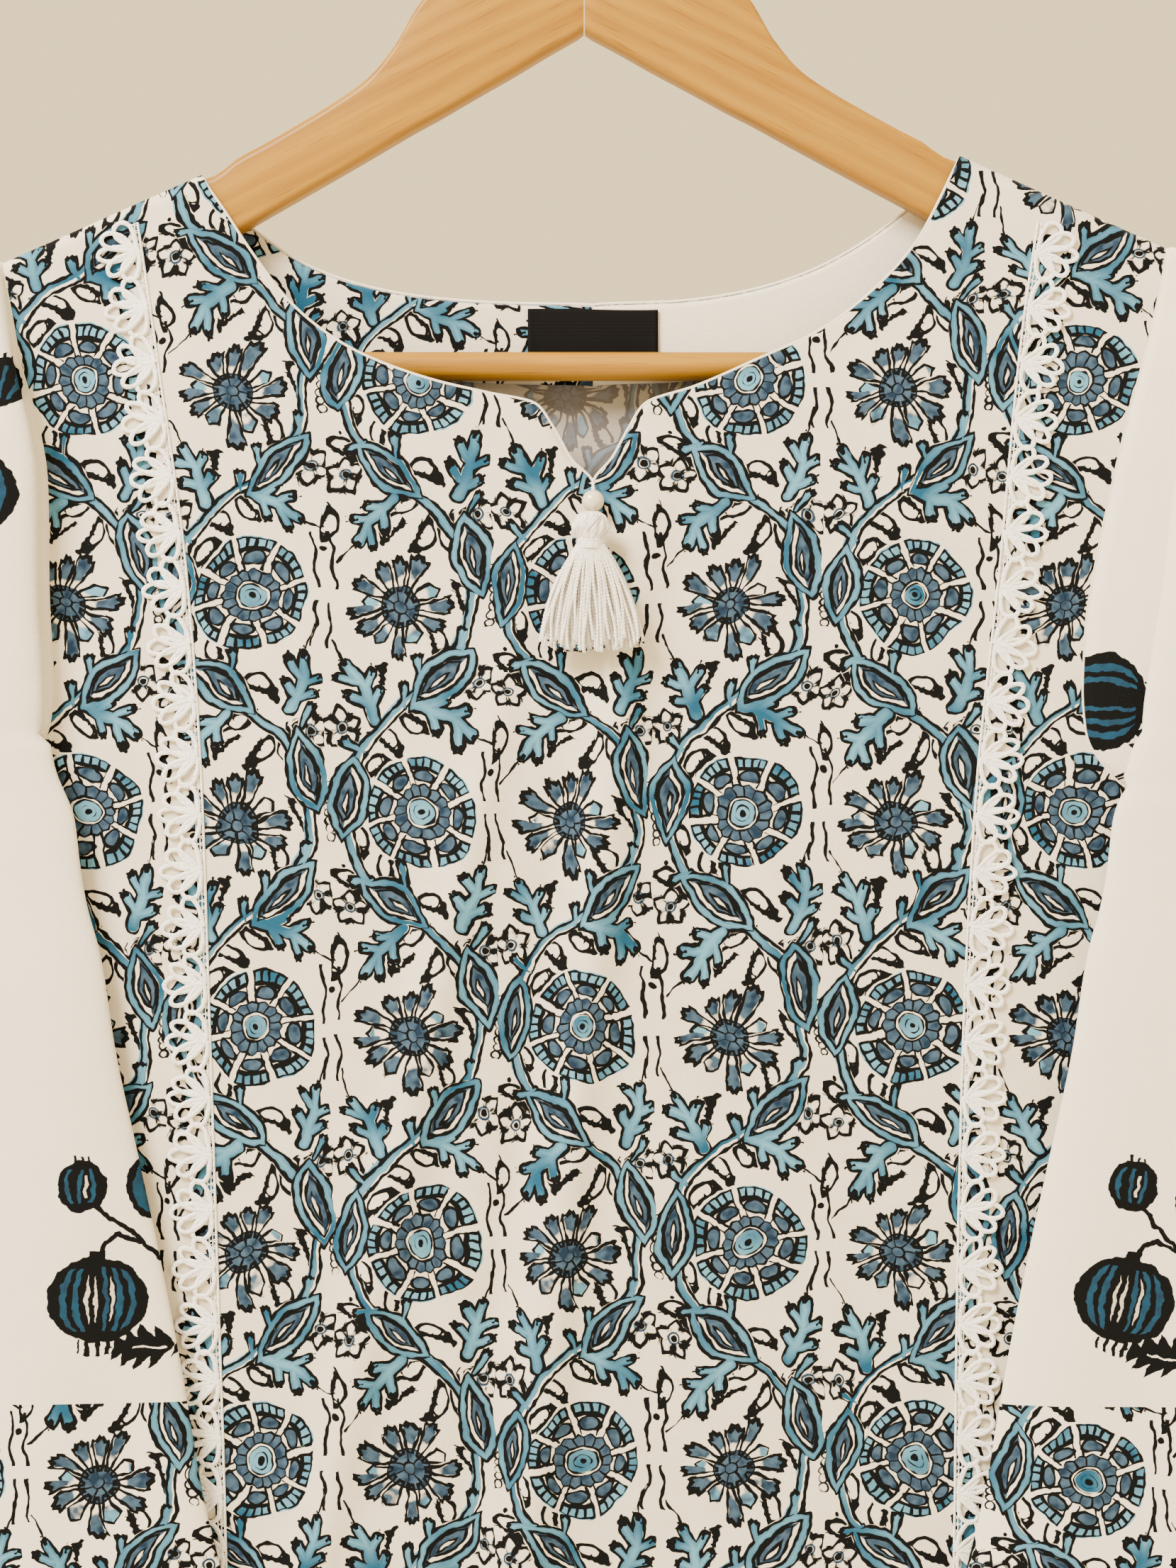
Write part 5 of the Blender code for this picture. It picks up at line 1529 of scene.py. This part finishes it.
def tassel_strands(count, around=5, pitch=2.3):
    """The skirt's strands. Each runs out from the neck to its place at the bottom, swaying a
    little, and is two plies wound round each other as a double helix."""
    x0, y0 = tassel_middle()
    i = np.arange(count)[:, None]
    layer = i % 4
    place = 2 * (i // 4 + 0.25 * layer + 0.13) / (count / 4) - 1
    f = np.linspace(0, 1, 58)
    spread = SKIRT_HALF_TOP + (SKIRT_HALF_BOTTOM - SKIRT_HALF_TOP) * np.sin(f * 1.5) ** 0.9
    depth = (layer - 1.5) * 2.5 * np.sqrt(np.clip(1 - 0.85 * place ** 2, 0, 1)) * (0.95 + 0.1 * f)
    end = STRAND_END - 2.6 * place ** 2 + 1.7 * np.sin(i * 2.39) + 0.8 * np.sin(i * 5.1)
    drop = STRAND_TOP + (end - STRAND_TOP) * f
    sway = 0.9 * np.sin(3.4 * f + i * 1.93) * f + 0.35 * np.sin(9 * f + i * 0.7) * f
    middle = placed(x0 + place * spread + sway, y0 + depth + 0.4 * np.sin(4 * f + i) * f, drop)
    away = 0.27 * (1 + 0.5 * ramp(f, 0.93, 1.0))
    radius = 0.33 * (1 - 0.45 * ramp(f, 0.96, 1.0))
    turn = (drop - STRAND_LEVEL) * math.tau / pitch + i
    return many_tubes(np.concatenate([wound(middle, turn + ply, away, away, radius, around)
                                      for ply in (0.0, math.pi)]))


def turned(profile, middle=(0.0, 0.0, 0.0), around=40):
    """A turned shape: rings of a profile given as drop and radius, round its middle."""
    drop, radius = np.array(profile).T[..., None]
    a = around_turn(around)
    return many_tubes((placed(radius * np.cos(a), radius * np.sin(a), drop) + middle)[None])


def bead(y, rings=20):
    """A round bead: a circle's half as profile, sunk at both ends for its hole."""
    up = np.linspace(0.10, math.pi - 0.10, rings)
    half = np.stack([-np.cos(up), np.sin(up)], axis=-1) * PEARL_RADIUS
    well = half[[0, -1]] * (0.82, 0.8)
    return turned(np.concatenate([well[:1], half, well[1:]]), (CENTRE_X, y, PEARL_DROP))


def hanging_cord(bead_y, step=0.5, radius=0.32):
    """The two threads that run from the notch through the bead to the tassel, twisted."""
    x0, y0 = tassel_middle()
    notch = float(smooth(NOTCH_END, FRONT, "left_in"))
    cord = along_path([(CENTRE_X, bead_y + PEARL_RADIUS - 0.6, notch - 2.0),
                       (CENTRE_X, bead_y, PEARL_DROP - 3.4), (CENTRE_X, bead_y, PEARL_DROP + 3.4),
                       (x0, y0, TASSEL_HEAD["drop"][0] + 1.0)], step)
    twist = np.arange(len(cord)) * 0.75 + np.array([[0.0], [math.pi]])
    return many_tubes(wound(cord, twist, 0.3, 0.3, radius, 6))


class SUIT_OT_neck_trim(bpy.types.Operator):
    """Make the neck's facing, label, rolled edge, bead and tassel"""
    bl_idname = "suit.neck_trim"
    bl_label = "Neck trim"

    def execute(self, context):
        for side, sign in SIDES.items():
            grid = facing_surface(side)
            put_mesh(f"back_facing_{side}", f"neck_facing_{side}",
                     block_print if side == "left" else plain_cotton, grid, flip=sign < 0,
                     cut=grid[..., (0, 2)] + (0.0, -9.0), wall=FACING_WALL,
                     sheet=("laid", ["tunic_back"]))
            for name, last in (("front", NOTCH_END), ("back", BACK_NECK_END)):
                path = panel_surface(*PANELS[name], side, np.linspace(0.004, last, 90), 0.0)
                radius = millimetres("piping") * np.minimum(1, 0.45 + np.arange(90) / 12)
                put_mesh(f"neck_piping_{name}_{side}", f"kameez_{name}", plain_cotton,
                         *many_tubes(tube_points(path[None], radius, 10)), cut="flat",
                         weld=False, stands_in=False)
        put_mesh("woven_label", "neck_label", satin_ribbon, label_surface(), cut="flat",
                 wall=LABEL_WALL, sheet=("laid", ["back_facing_left", "back_facing_right"]))
        y = float(front_side(-1, CENTRE_X, PEARL_DROP)) - GAP - PEARL_RADIUS
        put_mesh("neck_bead", "neck_pearl", pearl_bead, *bead(y), weld=False)
        parts = [many_tubes(tassel_head()[None]), hanging_cord(y),
                 tassel_strands(context.scene.suit_sizes.strands),
                 neck_thread(*NECK_THREAD.values())]
        put_mesh("neck_tassel_thread", "neck_tassel", tassel_thread, *joined(parts), weld=False)
        return {"FINISHED"}


# ------------------------------------------------------------ trousers

def trouser_tube(name, node_name, sign, rows, sizes, pleats=0.0, thicker=0.0, parted=0.0, around=96,
                 **sheet):
    """A piece of the trousers: flattened rings down its rows, upright at their two folds: x is a
    cosine and y a sine raised to a power under 1. The last point repeats the first, or is parted
    from it where the legs join. Soft pleats, a sum of two sines round the ring, draw its layers
    in a little."""
    left, right, depth = (size[:, None] for size in sizes)
    turn = np.arange(around + 1) * math.tau / around
    x = (left + right) / 2 - (right - left) / 2 * np.cos(turn)
    y = -depth * np.sign(np.sin(turn)) * np.abs(np.sin(turn)) ** FLAT_RING_POWER
    y[..., 0] = y[..., -1] = 0.0
    wave = np.sin(turn * 24 + 0.01 * rows[:, None]) + 0.6 * np.sin(turn * 13 + 1.0)
    y = y * (1 - np.reshape(pleats, (-1, 1)) * 0.12 * (1.6 + wave) * np.abs(np.sin(turn)))
    y[:, 0] -= sizes[2] * parted
    y[:, -1] += sizes[2] * parted
    points = placed(sign * x, y, rows[:, None])
    walked = np.pad(np.cumsum(np.abs(np.diff(x.mean(axis=0)))), (1, 0))
    cut = np.stack(np.broadcast_arrays(walked, rows[:, None]), axis=-1)
    return put_mesh(name, node_name, plain_cotton, points, flip=sign > 0, cut=cut,
                    wall=millimetres("cloth_wall") + thicker, **sheet)


def tape(side, sign):
    """A tape over the hanger's bar, both its ends sewn into the trousers' belt."""
    radius = BAR_RADIUS + GAP + TAPE_WALL / 2
    arc = np.linspace(0, math.pi, 25)
    over = np.stack([-radius * np.cos(arc), BAR_DROP - radius * np.sin(arc)], axis=-1)
    line = along_path([(-radius, TAPE_END), *over, (radius, TAPE_END)], TAPE_STEP)
    wide = np.linspace(-TAPE_HALF_WIDTH, TAPE_HALF_WIDTH, 7)
    cut = np.stack(np.broadcast_arrays(wide, np.arange(len(line))[:, None] * TAPE_STEP), axis=-1)
    put_mesh(f"trouser_tape_{side}", f"hanger_loop_{side}", plain_cotton,
             placed(sign * TAPE_X + wide, line[:, :1], line[:, 1:]), cut=cut, wall=0.7,
             sheet=("hung", ["hanger_rod"]))


class SUIT_OT_trousers(bpy.types.Operator):
    """Make the trousers' belt, legs and cuffs, and the tapes they hang from"""
    bl_idname = "suit.trousers"
    bl_label = "Trousers"

    def execute(self, context):
        rows = even_rows(BELT["drop"], 8)
        half, depth = (smooth(rows, BELT, name) for name in ("half_width", "depth"))
        trouser_tube("trouser_belt", "salwar_belt", 1, rows, (-half, half, depth),
                     pleats=0.6 * ramp(rows, 200, 260),
                     sheet=("gathered", ["trouser_tape_left", "trouser_tape_right"]))
        for side, sign in SIDES.items():
            rows = even_rows(LEG["drop"], 8)
            leg = trouser_tube(f"trouser_leg_{side}", f"salwar_leg_{side}", sign, rows,
                               [smooth(rows, LEG, name) for name in ("in_x", "out_x", "depth")],
                               pleats=1 - 0.8 * ramp(rows, 700, 1000),
                               parted=1 - ramp(rows, CROTCH_DROP - 24, CROTCH_DROP),
                               sheet=("gathered", ["trouser_belt"]))
            rows = even_rows(CUFF["drop"], 6)
            trouser_tube(f"trouser_cuff_{side}", f"salwar_cuff_{side}", sign, rows,
                         [smooth(rows, CUFF, name) for name in ("in_x", "out_x", "depth")],
                         thicker=0.2, sheet=("hung", [leg]))
            tape(side, sign)
        return {"FINISHED"}


# ------------------------------------------------------------ hanger

def arm_surface(side, around=48):
    """An arm's rounded sections outward from the centre: quarter circles between flats. Beyond
    the neck its top follows the shoulder seam, and its inner end is eased for the glued joint."""
    sign = SIDES[side]
    neck = abs(FRONT[f"{side}_in_x"][0])
    x = even_rows(ARM["x"], 5)[:, None]
    tilt = -sign * ARM_TILT * x
    beyond = ramp(x, neck - 14, neck + 2)
    under_seam = shoulder_drop(sign * x) + SEAT + ARM_ROUND * np.maximum(0, x - ARM_ROUND_FROM) ** 2
    top = (smooth(x, ARM, "top") + tilt) * (1 - beyond) + under_seam * beyond
    bottom = smooth(x, ARM, "bottom") + tilt * (1 - ramp(x, ARM_LEVEL_FROM, ARM_LEVEL_TO))
    ease = ARM_EASE * np.exp(-(x / ARM_EASE_LONG) ** 2)
    depth = ARM_HALF_DEPTH - ARM_THINNER * ramp(x, ARM_THINS_FROM, ARM_TIP) - ease
    r = np.minimum(ARM_EDGE_RADIUS, depth - 0.2)
    turn = around_turn(around) + math.pi / around
    out, up = np.cos(turn), np.sin(turn)
    half = (bottom - top) / 2 - ease
    return placed(sign * x, (depth - r) * np.sign(out) + r * out,
                  (top + bottom) / 2 - (half - r) * np.sign(up) - r * up)


def hook_line():
    """The wire's centre line: shank, bend and the open hook."""
    radius = HOOK_INNER_RADIUS + HOOK_WIRE_RADIUS
    centre = -HOOK_ABOVE + HOOK_INNER_RADIUS
    base = -NECK_RISE - GAP
    first = math.radians(-50)
    join = np.array([radius * math.cos(first), centre - radius * math.sin(first)])
    lead = np.array([-math.sin(first), -math.cos(first)])
    low = np.array([0.0, base - 12.0])
    f = np.linspace(0, 1, 20)[:, None]
    bend = ((1 - f) ** 3 * low + 3 * f * (1 - f) ** 2 * (low + (0, -7.0))
            + 3 * f * f * (1 - f) * (join - 8.0 * lead) + f ** 3 * join)
    a = np.radians(np.arange(-46, 206, 4.0))
    arc = np.stack([radius * np.cos(a), centre - radius * np.sin(a)], axis=1)
    x, drop = np.concatenate([[(0.0, base - 3.0)], bend, arc]).T
    return placed(x, 0.0, drop)


class SUIT_OT_hanger(bpy.types.Operator):
    """Make the wooden hanger's arms, bar and hook"""
    bl_idname = "suit.hanger"
    bl_label = "Hanger"

    def execute(self, context):
        for side in SIDES:
            put_mesh(f"hanger_wood_{side}", f"hanger_arm_{side}", sawn_beech,
                     *many_tubes(arm_surface(side)[None]))
        a = around_turn(48)
        rod = placed(np.linspace(-BAR_HALF_LENGTH, BAR_HALF_LENGTH, 40)[:, None],
                     BAR_RADIUS * np.cos(a), BAR_DROP + BAR_RADIUS * np.sin(a))
        put_mesh("hanger_rod", "hanger_bar", turned_beech, *many_tubes(rod[None]))
        path = hook_line()
        near_end = ramp(np.arange(len(path)), len(path) - 3, len(path))
        radius = HOOK_WIRE_RADIUS * np.sqrt(1 - near_end * 0.8)
        collar = turned([(-NECK_RISE - up, radius) for up, radius in (
            (-0.2, 4.2), (0.3, 5.4), (0.9, HOOK_COLLAR_RADIUS), (2.4, HOOK_COLLAR_RADIUS),
            (3.2, 5.2), (4.1, 3.0), (4.6, HOOK_WIRE_RADIUS))])
        parts = [many_tubes(tube_points(path[None], radius, 20)), collar]
        put_mesh("hanger_wire_hook", "hanger_hook", plated_steel, *joined(parts))
        return {"FINISHED"}


# ------------------------------------------------------------ stitching

def on_grid(grid, height):
    """A grid of points lifted along its own normals: the cross product of its two directions."""
    return grid + unit(np.cross(np.gradient(grid, axis=0), np.gradient(grid, axis=1))) * height


def stitch_tubes(path):
    """Equal stitches along a path, each a short tube that thins where it dips into the cloth."""
    path = along_path(path, 0.4)
    long, thick = millimetres("stitch"), millimetres("thread")
    starts = np.arange(0.5, walked_along(path)[-1] - long, long + millimetres("stitch_gap"))
    places = at_lengths(path, starts[:, None] + long * np.array([0.0, 0.18, 0.5, 0.82, 1.0]))
    return many_tubes(tube_points(places, thick * np.array([0.35, 1.0, 1.1, 1.0, 0.35]), 5))


def edge_line(panel, facing, side, rows, inset, height, inner=False):
    """A line on a panel's outside at an inset from its outer or inner edge."""
    wide = np.hypot(*[smooth(rows, panel, f"{side}_out{axis}")
                      - smooth(rows, panel, f"{side}_in{axis}") for axis in ("_x", "")])
    across = inset / wide if inner else 1 - inset / wide
    steps = np.array([-0.003, 0.0, 0.003])
    grid = panel_surface(panel, facing, side, rows[:, None], across[:, None] + steps)
    return on_grid(grid, height)[:, 1]


class SUIT_OT_stitching(bpy.types.Operator):
    """Make the seams, the topstitching and the hems' stitches"""
    bl_idname = "suit.stitching"
    bl_label = "Stitching"

    def execute(self, context):
        lift = millimetres("cloth_wall") / 2 + 0.08
        for side, sign in SIDES.items():
            lines, seams = [], []
            for panel, facing in PANELS.values():
                out = lift if sign * facing < 0 else -lift
                neck_end = NOTCH_END - 0.006 if facing < 0 else BACK_NECK_END - 0.004
                for start, end, inset, inner in ((0.012, 0.585, 2.4, False),
                                                 (0.012, neck_end, 2.6, True),
                                                 (SLIT_TOP, 0.985, 7.0, False)):
                    rows = np.linspace(start, end, 160)
                    lines.append(edge_line(panel, facing, side, rows, inset, out, inner))
                hem = panel_surface(panel, facing, side, np.array([[0.984], [0.985], [0.986]]),
                                    np.linspace(0, 0.97, 120))
                lines.append(on_grid(hem, -out)[1])
                path = armhole(panel, facing, side, np.linspace(0.004, 1, 120))
                seams.append(many_tubes(tube_points(path[None], 0.55, 8)))
            points, cut = sleeve_surface(side)
            hem_row = np.argmin(np.abs(points[:, SLEEVE_FRONT_STEPS, 2] - SLEEVE_HEM_STITCH))
            lines.append(on_grid(points, -sign * lift)[hem_row])
            put_mesh(f"topstitching_{side}", f"sleeve_{side}", sewing_thread,
                     *joined([stitch_tubes(line) for line in lines]), weld=False, stands_in=False)
            put_mesh(f"armhole_seam_{side}", f"sleeve_{side}", plain_cotton, *joined(seams),
                     cut="flat", weld=False, stands_in=False)
        return {"FINISHED"}


# ------------------------------------------------------------ stage

VIEW_DISTANCE = 1.30                    # metres from the camera to the tunic's front
VIEW_MIDDLE = (1.3, -12.0, 257.5)       # what the camera looks at: x, y and drop
IMAGE_HEIGHT, PIXELS_PER_MM = 2212, 4.147
SEEN_HEIGHT = IMAGE_HEIGHT / PIXELS_PER_MM      # millimetres from the view's top to its bottom
FLOOR_BELOW, FLOOR_RADIUS = 0.35, 4.0   # metres
LIT = (0.0, 0.0, -0.4)                  # what the lights point at, in metres
# Each light's name, its watts, its size and its place in metres.
LIGHTS = (("key", 210.0, 0.9, (-1.3, -1.5, 1.3)), ("fill", 12.0, 1.8, (1.7, -1.7, -0.1)),
          ("back", 40.0, 1.2, (0.3, 1.5, 0.9)))


class SUIT_OT_stage(bpy.types.Operator):
    """Make the floor, the lights and the camera"""
    bl_idname = "suit.stage"
    bl_label = "Stage"

    def execute(self, context):
        scene = context.scene

        def staged(name, data, place, turn=(0, 0, 0)):
            made = bpy.data.objects.new(name, data)
            scene.collection.objects.link(made)
            made.location, made.rotation_euler = place, turn
            return made

        camera = bpy.data.cameras.new("camera")
        camera.sensor_fit = "VERTICAL"
        camera.sensor_height = 36.0
        camera.lens = camera.sensor_height * VIEW_DISTANCE / (SEEN_HEIGHT * MM)
        camera.clip_start = 0.01
        x, y, drop = VIEW_MIDDLE
        scene.camera = staged("camera", camera,
                              (x * MM, y * MM - VIEW_DISTANCE, -(drop + HOOK_ABOVE) * MM),
                              (math.radians(90), 0, 0))
        a = around_turn(96)
        floor = bpy.data.meshes.new("floor")
        level = cad_box[0][2] - FLOOR_BELOW
        rim = placed(FLOOR_RADIUS * np.cos(a), FLOOR_RADIUS * np.sin(a), level)
        floor.from_pydata(rim.tolist(), [], [list(range(len(a)))])
        floor.materials.append(surface(matt_paint))
        staged("floor", floor, (0, 0, 0))
        studio = bpy.data.worlds.new("studio")
        studio.use_nodes = True
        backing = studio.node_tree.nodes["Background"].inputs
        backing["Color"].default_value = (*linear("#FCE0A9"), 1)
        backing["Strength"].default_value = 1.8
        scene.world = studio
        for name, energy, size, place in LIGHTS:
            light = bpy.data.lights.new(name, "AREA")
            light.energy, light.size = energy, size
            light.color = linear("#FFF6EA")
            toward = mathutils.Vector(LIT) - mathutils.Vector(place)
            staged(name, light, place, toward.to_track_quat("-Z", "Y").to_euler())
        return {"FINISHED"}


class SUIT_PT_panel(bpy.types.Panel):
    """Lists the suit's pieces, sizes and colours"""
    bl_idname = "SUIT_PT_panel"
    bl_label = "Suit"
    bl_space_type = "VIEW_3D"
    bl_region_type = "UI"
    bl_category = "Suit"

    def draw(self, context):
        for operator in STEPS:
            self.layout.operator(operator.bl_idname)
        for group in (context.scene.suit_sizes, context.scene.suit_colours):
            for name in group.__annotations__:
                self.layout.prop(group, name)


STEPS = (SUIT_OT_tunic_body, SUIT_OT_sleeves, SUIT_OT_lace, SUIT_OT_neck_trim, SUIT_OT_trousers,
         SUIT_OT_hanger, SUIT_OT_stitching, SUIT_OT_stage)
CLASSES = (SuitSizes, SuitColours) + STEPS + (SUIT_PT_panel,)


def register():
    """Register the add-on's classes, and put its sizes and colours on the scene."""
    for item in CLASSES:
        bpy.utils.register_class(item)
    bpy.types.Scene.suit_sizes = bpy.props.PointerProperty(type=SuitSizes)
    bpy.types.Scene.suit_colours = bpy.props.PointerProperty(type=SuitColours)


def unregister():
    """Take the add-on's classes away again."""
    del bpy.types.Scene.suit_sizes, bpy.types.Scene.suit_colours
    for item in reversed(CLASSES):
        bpy.utils.unregister_class(item)


def main():
    """Register the add-on and make every piece in order."""
    register()
    bpy.ops.suit.tunic_body()
    bpy.ops.suit.sleeves()
    bpy.ops.suit.lace()
    bpy.ops.suit.neck_trim()
    bpy.ops.suit.trousers()
    bpy.ops.suit.hanger()
    bpy.ops.suit.stitching()
    bpy.ops.suit.stage()


if __name__ == "__main__":
    main()
